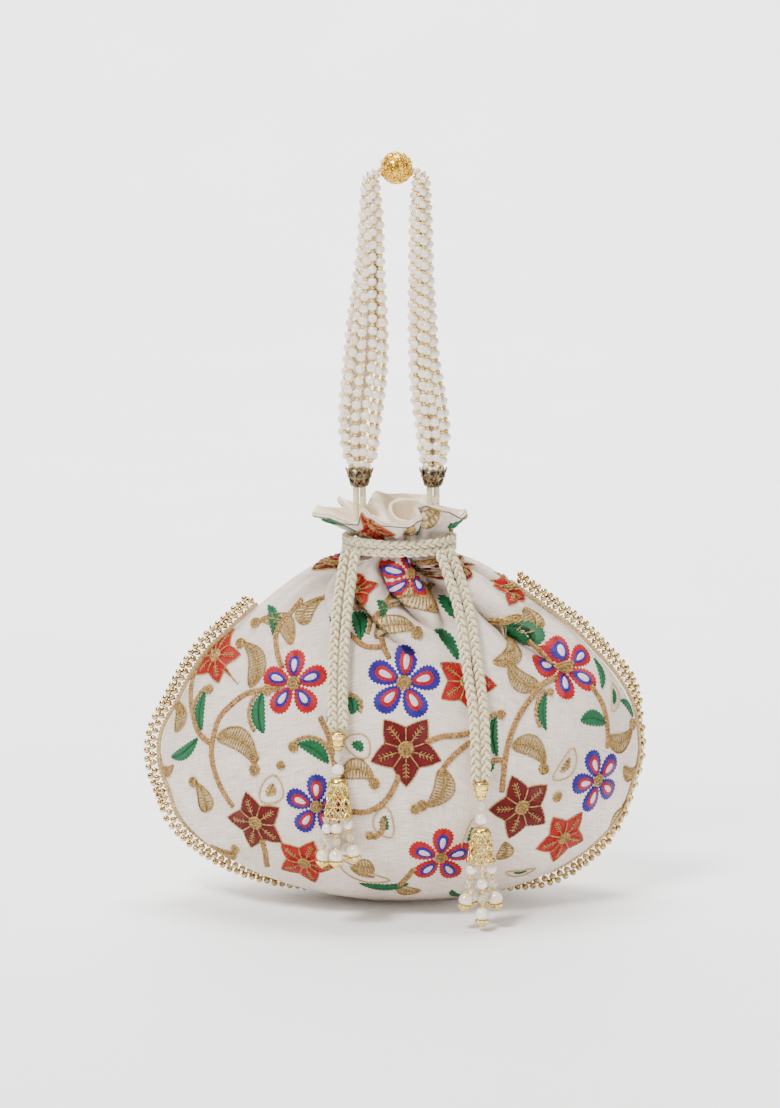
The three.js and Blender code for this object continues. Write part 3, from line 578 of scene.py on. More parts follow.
@dataclass(frozen=True)
class Satin:
    """Smooth satin lining: fine ribs and a soft sheen."""

    name: str = "cream_satin"
    light: tuple = paint(250, 234, 208)
    shade: tuple = paint(226, 202, 168)

    def material(self) -> bpy.types.Material:
        """Colour from broad soft patches, relief from fine ribs along V."""
        bench = Bench(self.name)
        flat = bench.place(True, (1, 1, 1))
        patches = bench.noise(bench.place(True, (0.2, 0.05, 1)), 1.0, 3)
        colour = bench.mixed(self.shade, self.light, patches, 0.35, 0.65)
        relief = bench.bands(flat, 0.3, "X", 0.4)
        facts = {"Roughness": 0.34, "Sheen Weight": 0.4, "Specular IOR Level": 0.55, "Anisotropic": 0.5}
        return bench.finish(colour, relief, 0.03, facts)


@dataclass(frozen=True)
class Stitching:
    """Satin stitch: side by side threads, each a little lighter or darker, that run up V."""

    name: str
    light: tuple
    shade: tuple
    pitch: float = 0.5  # mm between threads
    relief: float = 0.14  # mm
    roughness: float = 0.5
    metallic: float = 0.0
    glint: float = 0.0  # share of the tone that comes from painted glints: noise that lightens spots as if they caught the light

    def material(self) -> bpy.types.Material:
        """Colour per thread from noise across U, with painted glints from noise in the object's space. Relief from
        bands on U.
        """
        bench = Bench(self.name)
        flat = bench.place(True, (1, 1, 1))
        each = bench.noise(bench.place(True, (1.0, 0.1, 1)), 1.0, 2)
        bands = bench.bands(flat, self.pitch, "X", 0.5)
        # Painted glints: noise in the object's space lightens the thread colour at spots, standing in for highlights
        painted_glints = bench.noise(bench.place(False, (1, 1, 1)), 0.9, 2)
        tone = bench.blend(bench.blend(each, bands, 0.65), painted_glints, 1 - self.glint)
        colour = bench.mixed(self.shade, self.light, tone, 0.36, 0.62)
        facts = {
            "Roughness": self.roughness,
            "Metallic": self.metallic,
            "Specular IOR Level": 0.35,
        }
        return bench.finish(colour, bands, self.relief, facts)


@dataclass(frozen=True)
class Yarn:
    """Ivory yarn with a fine gold filament: fibres lie aslant and a few catch the light."""

    name: str = "ivory_yarn"
    light: tuple = paint(255, 249, 222)
    shade: tuple = paint(236, 216, 158)
    fleck: tuple = paint(206, 170, 74)

    def material(self) -> bpy.types.Material:
        """Colour from aslant fibres, with flecks of the filament. Relief from the same fibres."""
        bench = Bench(self.name)
        flat = bench.place(True, (1, 1, 1))
        slant = bench.add("Mapping", {}, {"Vector": flat, "Rotation": (0, 0, 0.7)}).outputs[0]
        fibres = bench.bands(slant, 0.5, "X", 1.2)
        tone = bench.blend(fibres, bench.noise(slant, 1.2), 0.5)
        ground = bench.mixed(self.shade, self.light, tone, 0.25, 0.6)
        specks = bench.noise(bench.place(False, (1, 1, 1)), 1.3, 1)
        spread = bench.mixed((0, 0, 0, 1), (1, 1, 1, 1), specks, 0.62, 0.68)
        mix = bench.add("Mix", {"data_type": "RGBA"}, {"Factor": spread, 6: ground, 7: self.fleck})
        facts = {"Roughness": 0.68, "Sheen Weight": 0.3, "Specular IOR Level": 0.35}
        return bench.finish(mix.outputs[2], fibres, 0.12, facts)


@dataclass(frozen=True)
class Metal:
    """Plated metal: painted highlight on the high places and painted shade in the hollows, with a slightly uneven
    face.
    """

    name: str
    light: tuple
    shade: tuple
    roughness: float = 0.28
    relief_and_shade_scale: float = 0.7  # patches per mm
    relief: float = 0.05  # mm

    def material(self) -> bpy.types.Material:
        """Colour and relief from one soft noise in the object's own space, so the colour paints shade in the
        relief's hollows and highlight on its high places.
        """
        bench = Bench(self.name)
        patches = bench.noise(bench.place(False, (1, 1, 1)), self.relief_and_shade_scale, 3)
        # Painted shade and highlight: the noise that raises the relief also sets the colour, darker in its hollows
        # and lighter on its high places
        colour = bench.mixed(self.shade, self.light, patches, 0.35, 0.6)
        facts = {"Roughness": self.roughness, "Metallic": 1.0}
        return bench.finish(colour, patches, self.relief, facts)


@dataclass(frozen=True)
class PearlGlaze:
    """Glass pearl: a warm white ground under a clear coat, with a faint blush."""

    name: str = "pearl_glaze"
    light: tuple = paint(252, 242, 228)
    blush: tuple = paint(236, 212, 186)

    def material(self) -> bpy.types.Material:
        """Colour from broad soft patches, the coat set on the shader."""
        bench = Bench(self.name)
        patches = bench.noise(bench.place(False, (1, 1, 1)), 0.25, 2)
        colour = bench.mixed(self.blush, self.light, patches, 0.35, 0.6)
        facts = {
            "Roughness": 0.24,
            "Metallic": 0.06,
            "Coat Weight": 1.0,
            "Coat Roughness": 0.05,
            "Specular IOR Level": 0.7,
        }
        return bench.finish(colour, None, 0, facts)


@dataclass(frozen=True)
class ClearGlass:
    """Clear champagne glass."""

    name: str = "champagne_glass"
    tint: tuple = paint(250, 240, 218)

    def material(self) -> bpy.types.Material:
        """A faint tint from soft noise, with light let through."""
        bench = Bench(self.name)
        patches = bench.noise(bench.place(False, (1, 1, 1)), 0.6, 2)
        colour = bench.mixed(self.tint, paint(255, 252, 244), patches)
        facts = {"Roughness": 0.06, "Transmission Weight": 0.75, "IOR": 1.5, "Specular IOR Level": 0.8}
        return bench.finish(colour, None, 0, facts)


class Finishes:
    """Every finish of the reticule, each made once."""

    def __init__(self) -> None:
        """Make the materials."""
        self.silk = RawSilk().material()
        self.satin = Satin().material()
        self.yarn = Yarn().material()
        self.pearl = PearlGlaze().material()
        self.glass = ClearGlass().material()
        self.red = Stitching("red_thread", paint(198, 4, 8), paint(140, 0, 4)).material()
        self.maroon = Stitching("maroon_thread", paint(124, 2, 12), paint(76, 0, 6)).material()
        self.purple = Stitching("violet_thread", paint(48, 18, 148), paint(24, 8, 94)).material()
        silver = (paint(240, 224, 230), paint(180, 166, 184), 0.4, 0.08, 0.3, 0.2)
        self.silver = Stitching("silver_thread", *silver).material()
        self.green = Stitching("green_thread", paint(14, 112, 62), paint(2, 64, 36)).material()
        # For the gold, pale gold, copper and braid threads the last number is the share of painted glints in the
        # colour
        gold = (paint(222, 182, 112), paint(88, 58, 24), 0.6, 0.2, 0.34, 0.4, 0.5)
        self.gold = Stitching("gold_thread", *gold).material()
        zari = (paint(236, 218, 180), paint(198, 168, 120), 0.6, 0.15, 0.6, 0.0, 0.3)
        self.zari = Stitching("pale_gold_ground", *zari).material()
        copper = (paint(206, 160, 98), paint(84, 52, 26), 0.6, 0.2, 0.36, 0.35, 0.5)
        self.copper = Stitching("copper_gold_thread", *copper).material()
        braid = (paint(232, 204, 150), paint(160, 122, 72), 0.5, 0.15, 0.42, 0.35, 0.3)
        self.braid = Stitching("gold_braid", *braid).material()
        self.edge = Stitching("dark_edging", paint(134, 112, 80), paint(74, 58, 40), 0.6, 0.1, 0.6).material()
        self.antique = Metal("antique_beads", paint(228, 204, 150), paint(150, 118, 66), 0.16).material()
        self.light_gold = Metal("light_gold", paint(250, 226, 138), paint(206, 168, 84), 0.22).material()
        self.yellow_gold = Metal("yellow_gold", paint(252, 214, 92), paint(208, 156, 48), 0.24).material()
        self.bronze = Metal("antique_bronze", paint(150, 132, 104), paint(70, 58, 44), 0.38).material()


# The pouch's cloth


def eased(t: Array) -> Array:
    """Smooth step from 0 to 1."""
    t = np.clip(t, 0, 1)
    return t * t * (3 - 2 * t)


@dataclass
class PouchCloth:
    """The outside of the pouch and its frill as one surface of two parameters.

    The first is the angle in degrees from the right seam, with 270 at the front. The second is the row of
    `sections`, from the bottom seam at 0 to the top of the neck, and then three more up to the frill's edge.
    Lengths are shares of the sizes, as in the part's source.
    """

    half_width: float = 110.0
    half_depth: float = 52.0
    waist_height: float = 168.0
    pleats: int = 10
    pleat_depth: float = 4.0
    gathers: int = 23
    gather_depth: float = 3.4
    frill_height: float = 15.0
    frill_reach: tuple[float, float] = (35.5, 25.0)
    frill_shift: float = -3.5
    frill_rows: int = 3
    # left and right reach, seam height, depth, belly height, edge, pleat, tuck
    sections: Array = field(default_factory=lambda: np.array([
        (0, 0, 0.068, 0, 0.068, 1, 0, 0), (0.218, 0.309, 0.068, 0.077, -0.004, 1.1, 0, 0),
        (0.382, 0.545, 0.069, 0.163, -0.005, 1.2, 0, 0), (0.527, 0.645, 0.081, 0.269, 0.009, 1.3, 0, 0),
        (0.673, 0.736, 0.11, 0.423, 0.024, 1.4, 0, 0.03), (0.809, 0.845, 0.161, 0.596, 0.056, 1.4, 0, 0.08),
        (0.914, 0.936, 0.226, 0.76, 0.11, 1.4, 0, 0.13), (0.955, 0.98, 0.297, 0.885, 0.173, 1.4, 0, 0.16),
        (0.995, 1.012, 0.381, 0.971, 0.256, 1.4, 0, 0.16), (0.986, 1.008, 0.464, 1, 0.345, 1.4, 0, 0.12),
        (0.923, 0.977, 0.547, 0.971, 0.441, 1.4, 0.04, 0.05),
        (0.859, 0.905, 0.631, 0.894, 0.536, 1.4, 0.1, 0),
        (0.791, 0.818, 0.697, 0.798, 0.62, 1.35, 0.18, 0), (0.7, 0.736, 0.756, 0.702, 0.697, 1.3, 0.3, 0),
        (0.6, 0.614, 0.821, 0.596, 0.78, 1.25, 0.45, 0), (0.495, 0.5, 0.881, 0.5, 0.854, 1.2, 0.6, 0),
        (0.386, 0.391, 0.932, 0.423, 0.916, 1.1, 0.8, 0), (0.29, 0.286, 0.962, 0.375, 0.955, 1, 0.95, 0),
        (0.2, 0.21, 0.976, 0.331, 0.975, 1, 1, 0), (0.2, 0.21, 1.024, 0.331, 1.024, 1, 1, 0),
    ]))
    # angle at the neck, turn below it, spread to the left and to the right, depth, lap over its valley, and
    # the height below which the fold is gone
    folds: tuple = (
        (315.8, 42, 11, 2.2, 0.46, 11.0, 0.62), (215, 270, 8, 4, 0.38, 4.0, 0.7),
        (247, 206, 5, 4, 0.4, 4.0, 0.74), (301, -50, 4, 7, 0.34, -4.0, 0.72),
        (193, 255, 7, 5, 0.22, 0.0, 0.74), (284, 60, 3.5, 4.5, 0.26, 0.0, 0.8),
        (335, 60, 5, 5, 0.2, 0.0, 0.76), (44, 0, 7, 7, 0.26, 4.0, 0.7), (82, 0, 4, 7, 0.3, 4.0, 0.76),
        (109, 0, 8, 4, 0.3, -4.0, 0.74), (140, 0, 7, 7, 0.26, 4.0, 0.68), (20, 0, 5, 5, 0.2, 0.0, 0.74),
        (162, 0, 5, 5, 0.2, 0.0, 0.76),
    )
    # angle, reach and lift of the frill's edge
    ruffle: Array = field(default_factory=lambda: np.array([
        (0, 1, 0.66), (14, 0.8, 0.72), (30, 0.62, 0.8), (48, 0.9, 0.9), (66, 1.05, 0.86), (84, 0.8, 0.95),
        (100, 0.98, 0.98), (118, 0.66, 0.7), (134, 0.98, 0.86), (150, 0.7, 0.68), (166, 1, 0.7),
        (183, 1.02, 0.56), (198, 0.99, 0.6), (210, 0.92, 0.6), (222, 0.82, 0.46), (232, 0.7, 0.42),
        (241, 0.76, 0.84), (252, 0.9, 0.72), (265, 0.98, 0.52), (282, 1.0, 0.47), (297, 0.86, 0.62),
        (308, 0.58, 0.92), (318, 0.62, 0.98), (330, 0.85, 0.8), (342, 0.98, 0.55), (360, 1, 0.66),
    ]))

    @property
    def neck_row(self) -> int:
        """The row at the top of the neck."""
        return len(self.sections) - 1

    @property
    def edge_row(self) -> int:
        """The row at the frill's edge."""
        return self.neck_row + self.frill_rows

    def section(self, row: Array) -> list[Array]:
        """Read the sections table between its rows, where each column is a Catmull-Rom cubic.

        Args:
            row: places in the table.

        Returns:
            Each column's values at those places.
        """
        table = self.sections
        row = np.clip(row, 0, self.neck_row)
        i = np.clip(np.floor(row).astype(int), 0, self.neck_row - 1)
        t = (row - i)[..., None]
        a, b, c, d = (table[np.clip(i + k, 0, self.neck_row)] for k in (-1, 0, 1, 2))
        value = cubic(a, b, c, d, t)
        return [value[..., k] for k in range(table.shape[1])]

    @cached_property
    def unfolded(self) -> "PouchCloth":
        """The same cloth without gathers, folds and ruffles, on which patterns are laid out."""
        even = np.array([(0, 0.9, 0.6), (360, 0.9, 0.6)])
        return replace(self, folds=(), pleat_depth=0.0, gather_depth=0.0, ruffle=even)

    def creased(self, angle: Array, height: Array, pleat: Array) -> tuple[Array, Array]:
        """Gathers and folds of the cloth.

        Gathers are cosines round the waist. A fold is a bell curve across its line, with a spread of its own
        on either side, and the steeper side is pushed over the valley.

        Args:
            angle: degrees round from the right seam.
            height: share of the waist's height.
            pleat: strength of the gathers.

        Returns:
            How far the cloth goes inwards, and how far it goes round towards a larger angle.
        """
        radians = np.radians(angle)
        depth = self.pleat_depth * pleat * 0.5 * (1 + np.cos(self.pleats * radians))
        depth = depth + self.gather_depth * pleat**2 * 0.5 * (1 + np.cos(self.gathers * radians + 1.0))
        depth = depth + 0.3 * self.gather_depth * pleat**2 * np.cos(37 * radians)
        aside = 0 * depth
        for at, turn, left, right, deep, lap, low in self.folds:
            off = angle - (at + turn * (1 - height))
            off = np.mod(off + 180, 360) - 180
            fade = eased((height - low) / (0.95 - low)) * (1 - 0.55 * eased((height - 0.95) / 0.05))
            bell = np.exp(-((off / np.where(off < 0, left, right)) ** 2))
            depth = depth + deep * self.half_depth * fade * bell
            aside = aside - lap * fade * np.exp(-(((off - right) / (1.3 * right)) ** 2))
        return depth, aside

    def ruffled(self, angle: Array, column: int) -> Array:
        """Read the ruffle table, eased from one entry to the next.

        Args:
            angle: degrees round from the right seam.
            column: 1 for the reach and 2 for the lift.

        Returns:
            The column's values at those angles.
        """
        angle = np.mod(angle, 360)
        table = self.ruffle
        i = np.clip(np.searchsorted(table[:, 0], angle, side="right") - 1, 0, len(table) - 2)
        t = eased((angle - table[i, 0]) / (table[i + 1, 0] - table[i, 0]))
        return table[i, column] + (table[i + 1, column] - table[i, column]) * t

    def point(self, angle: Array, row: Array) -> Array:
        """Points of the cloth.

        A row of the pouch is an ellipse from the left to the right seam, pinched towards the seams by its
        edge, with its height eased from the seams to the belly. In the frill a point goes from the top of the
        neck to the ruffled edge, late outwards and early upwards.

        Args:
            angle: degrees round from the right seam.
            row: of the sections, and on into the frill.

        Returns:
            Points in millimetres, (..., 3).
        """
        angle, row = np.broadcast_arrays(np.asarray(angle, float), np.asarray(row, float))
        left, right, seam, depth, belly, edge, pleat, tuck = self.section(row)
        c, s = np.cos(np.radians(angle)), np.sin(np.radians(angle))
        lens = np.abs(s) ** edge
        inwards, aside = self.creased(np.mod(angle, 360), seam, pleat)
        x = c * (np.where(c < 0, left, right) * self.half_width - inwards) - s * aside
        y = np.sign(s) * lens * depth * self.half_depth - s * inwards + c * aside
        y = y + np.where(c > 0, tuck * self.half_depth * c**4, 0)
        z = np.maximum((seam + (belly - seam) * lens) * self.waist_height, 0)
        share = np.clip((row - self.neck_row) / self.frill_rows, 0, 1)
        reach, lift = self.ruffled(angle, 1), self.ruffled(angle, 2)
        rim_x = self.frill_shift + c * reach * self.frill_reach[0]
        rim_y = s * reach * self.frill_reach[1]
        rim_z = self.waist_height * self.sections[-1, 2] + self.frill_height * lift
        out, up = share**0.85, share**1.05
        return np.stack([x + (rim_x - x) * out, y + (rim_y - y) * out, z + (rim_z - z) * up], -1)

    def slopes(self, angle: Array, row: Array) -> tuple[Array, Array]:
        """How a point moves, from small steps to both sides.

        Args:
            angle: degrees round from the right seam.
            row: of the sections, and on into the frill.

        Returns:
            Millimetres per degree of angle, and per row.
        """
        per_degree = (self.point(angle + 0.25, row) - self.point(angle - 0.25, row)) / 0.5
        low, high = np.maximum(row - 0.02, 0), np.minimum(row + 0.02, self.edge_row)
        per_row = (self.point(angle, high) - self.point(angle, low)) / (high - low)[..., None]
        return per_degree, per_row

    def normal(self, angle: Array, row: Array) -> Array:
        """Directions out of the cloth."""
        per_degree, per_row = self.slopes(np.asarray(angle, float), np.asarray(row, float))
        return unit(np.cross(per_degree, per_row))

    def layer(self, angle: Array, row: Array, lift: Array | float) -> Array:
        """Points a distance out of the cloth, or into it where that is negative."""
        return self.point(angle, row) + self.normal(angle, row) * np.asarray(lift)[..., None]


@dataclass
class Hoop:
    """A round of the cloth with a flat pattern's millimetres drawn on it, as on a tambour.

    A net over the pattern is let down from the plane that touches the unfolded cloth at the middle. Newton's
    rule on angle and row brings the net's points under their places in the plane, step by step from the middle
    out. A pattern is read off the net, so that it goes into folds and ruffles with the cloth.
    """

    cloth: PouchCloth
    centre: tuple[float, float]
    ahead: tuple[float, float]  # a place in the direction of the pattern's second axis
    reach: float
    lines: int = 17
    steps: int = 10

    @cached_property
    def net(self) -> Array:
        """Angle and row at the points of the net, (lines, lines, 2)."""
        calm = self.cloth.unfolded
        origin, normal = calm.point(*self.centre), calm.normal(*self.centre)
        towards = calm.point(*self.ahead) - origin
        second = unit(towards - normal * (towards @ normal))
        axes = np.stack([np.cross(second, normal), second])
        line = np.linspace(-self.reach, self.reach, self.lines)
        places = np.stack(np.meshgrid(line, line, indexing="ij"), -1).reshape(-1, 2)
        angle = np.full(len(places), float(self.centre[0]))
        row = np.full(len(places), float(self.centre[1]))
        for step in range(self.steps + 3):
            want = places * min(1.0, (step + 1) / self.steps)
            per_degree, per_row = calm.slopes(angle, row)
            miss = (calm.point(angle, row) - origin) @ axes.T - want
            a, b = (per_degree @ axes.T).T
            c, d = (per_row @ axes.T).T
            bottom = a * d - b * c
            bottom = np.where(np.abs(bottom) < 0.4, np.where(bottom < 0, -0.4, 0.4), bottom)
            angle = angle - np.clip((miss[:, 0] * d - miss[:, 1] * c) / bottom, -6, 6)
            row = row - np.clip((miss[:, 1] * a - miss[:, 0] * b) / bottom, -0.5, 0.5)
            row = np.clip(row, 0.4, calm.edge_row - 0.05)
        return np.stack([angle, row], -1).reshape(self.lines, self.lines, 2)

    def lay(self, flat: Array, lift: Array | float) -> tuple[Array, Array]:
        """Lay flat points on the cloth.

        Args:
            flat: points in millimetres, (n, 2).
            lift: how far above the cloth each goes.

        Returns:
            The points, and the directions out of the cloth there.
        """
        place = np.clip((flat + self.reach) / (2 * self.reach), 0, 1) * (self.lines - 1)
        i = np.clip(np.floor(place).astype(int), 0, self.lines - 2)
        t = place - i
        low = self.net[i[:, 0], i[:, 1]] * (1 - t[:, :1]) + self.net[i[:, 0] + 1, i[:, 1]] * t[:, :1]
        high = self.net[i[:, 0], i[:, 1] + 1] * (1 - t[:, :1]) + self.net[i[:, 0] + 1, i[:, 1] + 1] * t[:, :1]
        found = low * (1 - t[:, 1:]) + high * t[:, 1:]
        normals = self.cloth.normal(found[:, 0], found[:, 1])
        return self.cloth.point(found[:, 0], found[:, 1]) + normals * np.asarray(lift)[..., None], normals


class Side(Enum):
    """The two panels of the pouch: the angle that each runs from."""

    FRONT = 180.0
    BACK = 0.0


@dataclass
class Pouch:
    """Two silk panels, the lining of the mouth, the bound seam and its rows of beads."""

    cloth: PouchCloth
    finishes: Finishes
    cloth_wall: float = 1.1
    lining_gap: float = 1.3  # from the outside of the cloth to the lining
    lining_wall: float = 0.7
    panel_shift: float = 0.15  # keeps the panels apart at the seams
    columns: int = 180
    rows: int = 132
    binding_reach: float = 1.1  # from the seam to the middle of the binding
    bead_radius: float = 1.6
    bead_rows: tuple[float, float] = (4.1, 6.6)  # from the seam to the middle of a row
    bead_pitch: float = 3.4
    left_shoulder: int = 14  # rows where the trim begins and ends
    right_shoulder: int = 15
    fit: float = 0.1
    trim_half: float = 0.45
    panel_cut: tuple[float, float] = (0.26, 0.26)  # metres, width and length of a panel laid flat
    panel_area: float = 0.052
    lining_cut: tuple[float, float] = (0.24, 0.034)
    # middle and radii of the roll in the mouth, at its foot and at its rim
    roll_foot: tuple = (3.0, -3.0, 170.5, 4.0, 3.6)
    roll_rim: tuple = (4.4, -8.0, 184.0, 7.4, 6.2)
    roll_tilt: float = 3.8
    roll_lip: float = 0.8

    def shell(
        self, angles: Array, rows: Array, outside: float, wall: float, shift: float, ring: bool
    ) -> Surface:
        """A wall of cloth between two layers, closed along its edges.

        Args:
            angles: of its columns.
            rows: of its rows.
            outside: how deep its outer layer lies under the cloth's outside.
            wall: its thickness.
            shift: a small move along Y that keeps the panels apart at the seams.
            ring: whether the columns close on themselves.

        Returns:
            The wall. U and V are distances along and up the cloth.
        """
        angle, row = np.meshgrid(angles, rows)
        outer = self.cloth.layer(angle, row, -outside)
        inner = self.cloth.layer(angle, row, -outside - wall)
        outer[..., 1] += shift
        inner[..., 1] += shift
        inner[..., 2] = np.maximum(inner[..., 2], wall)
        across = np.cumsum(np.linalg.norm(np.diff(outer, axis=1, prepend=outer[:, :1]), axis=-1), axis=1)
        across -= across[:, len(angles) // 2, None]
        up = np.cumsum(np.linalg.norm(np.diff(outer, axis=0, prepend=outer[:1]), axis=-1), axis=0)
        uv = np.stack([across, up], -1).reshape(-1, 2)
        count, columns = len(rows), len(angles)
        quads = grid_quads(count, columns, round_columns=ring)
        hem = []
        size = count * columns
        for start, flip in ((0, True), (size - columns, False)):
            line = np.arange(columns if ring else columns - 1)
            a, b = start + line, start + (line + 1) % columns
            hem.append(np.stack([a, b, b + size, a + size], -1)[:, :: -1 if flip else 1])
        if not ring:
            for start, flip in ((0, False), (columns - 1, True)):
                a = start + np.arange(count - 1) * columns
                b = a + columns
                hem.append(np.stack([a, b, b + size, a + size], -1)[:, :: -1 if flip else 1])
        points = np.concatenate([outer.reshape(-1, 3), inner.reshape(-1, 3)])
        faces = np.concatenate([quads, quads[:, ::-1] + size, *hem])
        return Surface(points, faces, uv=np.concatenate([uv, uv]))

    def build_panel(self, side: Side, node: str) -> Piece:
        """Make one silk panel, from the bottom seam to the frill's edge.

        Args:
            side: the front or the back.
            node: the node that it replaces.

        Returns:
            The panel.
        """
        angles = side.value + np.linspace(0, 180, self.columns + 1)
        foot = np.linspace(0.12, 4, 30)[:-1]
        rows = np.concatenate([foot, np.linspace(4, self.cloth.edge_row, self.rows - len(foot))])
        shift = -self.panel_shift if side is Side.FRONT else self.panel_shift
        surface = self.shell(angles, rows, 0.0, self.cloth_wall, shift, False)
        piece = make_piece(f"{side.name.lower()}_silk", surface, self.finishes.silk)
        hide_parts(node)
        return piece

    def build_lining(self) -> Piece:
        """Make the satin lining, from inside the neck to the frill's edge.

        Returns:
            The lining.
        """
        angles = np.linspace(0, 360, 2 * self.columns, endpoint=False)
        rows = np.linspace(self.cloth.neck_row - 1, self.cloth.edge_row, 36)
        surface = self.shell(angles, rows, self.lining_gap, self.lining_wall, 0.0, True)
        piece = make_piece("mouth_satin", surface, self.finishes.satin)
        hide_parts("mouth_lining")
        return piece

    def build_roll(self) -> Piece:
        """Make the roll of satin in the mouth: a funnel of cloth whose lip turns over, high at the back.

        Its ellipse grows from the foot to the rim, and the lip is half a circle across.

        Returns:
            The roll.
        """
        low, high = np.array(self.roll_foot), np.array(self.roll_rim)
        turn = np.linspace(0, FULL_TURN, 72, endpoint=False)
        climb = np.linspace(0, 1, 12)
        share = np.concatenate([climb[:-1], np.ones(8), climb[-2::-1]])
        lip = np.concatenate([np.zeros(11), np.linspace(0, np.pi, 8), np.full(11, np.pi)])
        wall = self.roll_lip * (1 - np.cos(lip))
        lift = self.roll_lip * np.sin(lip)
        size = low[3:] + (high[3:] - low[3:]) * eased(share)[:, None] + wall[:, None]
        wave = 1 + 0.05 * np.sin(3 * turn + 0.6)
        x = low[0] + (high[0] - low[0]) * share[:, None] + size[:, :1] * np.cos(turn) * wave
        y = low[1] + (high[1] - low[1]) * share[:, None] + size[:, 1:] * np.sin(turn) * wave
        level = low[2] + (high[2] - low[2]) * share[:, None] + lift[:, None]
        z = level + self.roll_tilt * share[:, None] * np.sin(turn) + 0.4 * share[:, None] * np.cos(2 * turn)
        rings = np.stack([x, y, z], -1)
        u = np.broadcast_to(8 * turn, rings.shape[:2])
        v = np.broadcast_to(np.arange(len(share))[:, None] * 1.0, rings.shape[:2])
        surface = closed_rings(rings, np.stack([u, v], -1)).turned_over()
        return make_piece("mouth_roll", surface, self.finishes.satin)

    def build_edging(self) -> Piece:
        """Stitch the dark thread along the frill's edge.

        Returns:
            The thread.
        """
        angle = np.linspace(0, 360, 360, endpoint=False)
        path = self.cloth.layer(angle, np.full_like(angle, self.cloth.edge_row - 0.12), 0.1)
        surface = twisted(smooth_path(path, 0.6, True), np.array([0, 0, 1.0]), 0.45, 1.8, 2, True)
        return make_piece("frill_edging", surface, self.finishes.edge)

    def seam_line(self) -> tuple[Array, Array, Array]:
        """The seam from the left shoulder, under the pouch and up to the right shoulder.

        Returns:
            Points just outside the cloth, the direction in which the trim stands away from it, and the
            direction of the trim's thickness.
        """
        cloth = self.cloth
        left = np.arange(self.left_shoulder, 0, -1)
        right = np.arange(1, self.right_shoulder + 1)
        bottom = np.array([[0.0, 0.0, cloth.sections[0, 2] * cloth.waist_height]])
        seam = np.concatenate([cloth.point(180.0, left), bottom, cloth.point(0.0, right)])
        parts = [cloth.point(189.0, left), cloth.point(270.0, [1.0]), cloth.point(351.0, right)]
        beside = np.concatenate(parts)
        path = smooth_path(seam, 0.5)
        along = headings(path)
        out = unit(np.stack([along[:, 2], np.zeros(len(path)), -along[:, 0]], -1))
        middle = np.array([0, 0, 0.45 * cloth.waist_height])
        out *= np.where(np.sum(out * (path - middle), -1) < 0, -1.0, 1.0)[:, None]
        near = np.argmin(np.linalg.norm(path[:, None] - seam[None], axis=-1), axis=1)
        aside = (beside - seam)[near]
        dip = np.maximum(0, np.sum(aside * out, -1) / np.maximum(np.abs(aside[:, 1]), 0.3))
        dip = np.convolve(np.pad(dip, 20, mode="edge"), np.ones(41) / 41, mode="valid")
        share = path[:, 2] / cloth.waist_height
        turn = np.radians(72) * eased((share - 0.07) / 0.2) * (1 - eased((share - 0.48) / 0.18))
        turn = np.where(path[:, 0] > 0, turn, 0)
        clear = self.fit + self.trim_half * (dip + np.sin(turn))
        away = out * np.cos(turn)[:, None] + np.array([0, 1.0, 0]) * np.sin(turn)[:, None]
        across = unit(np.cross(away, along))
        return path + out * clear[:, None], away, across

    def build_trim(self) -> list[Piece]:
        """Make the plaited binding and the two staggered rows of beads, with seeds below the first row.

        Returns:
            The binding, the beads and the seeds.
        """
        base, away, across = self.seam_line()
        middle = base + away * self.binding_reach
        braid = plait(middle, away, 0.62, 0.4, 4.2, 0.5)
        binding = make_piece("seam_braid", braid, self.finishes.braid)
        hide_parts("seam_binding")
        along = arc_lengths(base)
        places, radii = [], []
        for k, reach in enumerate(self.bead_rows):
            line = base + away * reach
            at = np.arange(1.0 + 0.5 * k * self.bead_pitch, along[-1] - 1.0, self.bead_pitch)
            lean = 0.45 * np.where(np.arange(len(at)) % 2, 1.0, -1.0)[:, None]
            spot = np.stack([np.interp(at, along, line[:, i]) for i in range(3)], -1)
            side = np.stack([np.interp(at, along, across[:, i]) for i in range(3)], -1)
            places.append(spot + side * lean * (1 if k else 0.3))
            radii.append(np.full(len(at), self.bead_radius))
        beads = stamped(ball(4), np.concatenate(places), np.concatenate(radii))
        piece = make_piece("rim_bead_rows", beads, self.finishes.antique)
        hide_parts("rim_beads")
        at = np.arange(1.0, along[-1] - 1.0, self.bead_pitch / 2)
        line = base + away * (self.bead_rows[0] - self.bead_radius - 0.35)
        spot = np.stack([np.interp(at, along, line[:, i]) for i in range(3)], -1)
        seeds = stamped(ball(2), spot, np.full(len(at), 0.6))
        return [binding, piece, make_piece("rim_seed_beads", seeds, self.finishes.antique)]


# Embroidery


class Motif(Enum):
    """What is stitched at a place."""

    RED_ROSE = "red petals round violet"
    VIOLET_ROSE = "violet petals round red"
    MAROON_STAR = "maroon star"
    RED_STAR = "red star"
    GREEN_LEAF = "green leaf"
    GOLD_LEAF = "gold leaf"
    ALMOND = "outlined almond"


ROSE, VIOLET, MAROON, RED = Motif.RED_ROSE, Motif.VIOLET_ROSE, Motif.MAROON_STAR, Motif.RED_STAR
GREEN, GOLD, ALMOND = Motif.GREEN_LEAF, Motif.GOLD_LEAF, Motif.ALMOND

# The front's pattern was read off the photograph, in its pixels, and a PhotoView finds it on the cloth
PIXEL = 0.46  # millimetres that a pixel of the photograph shows at the pouch
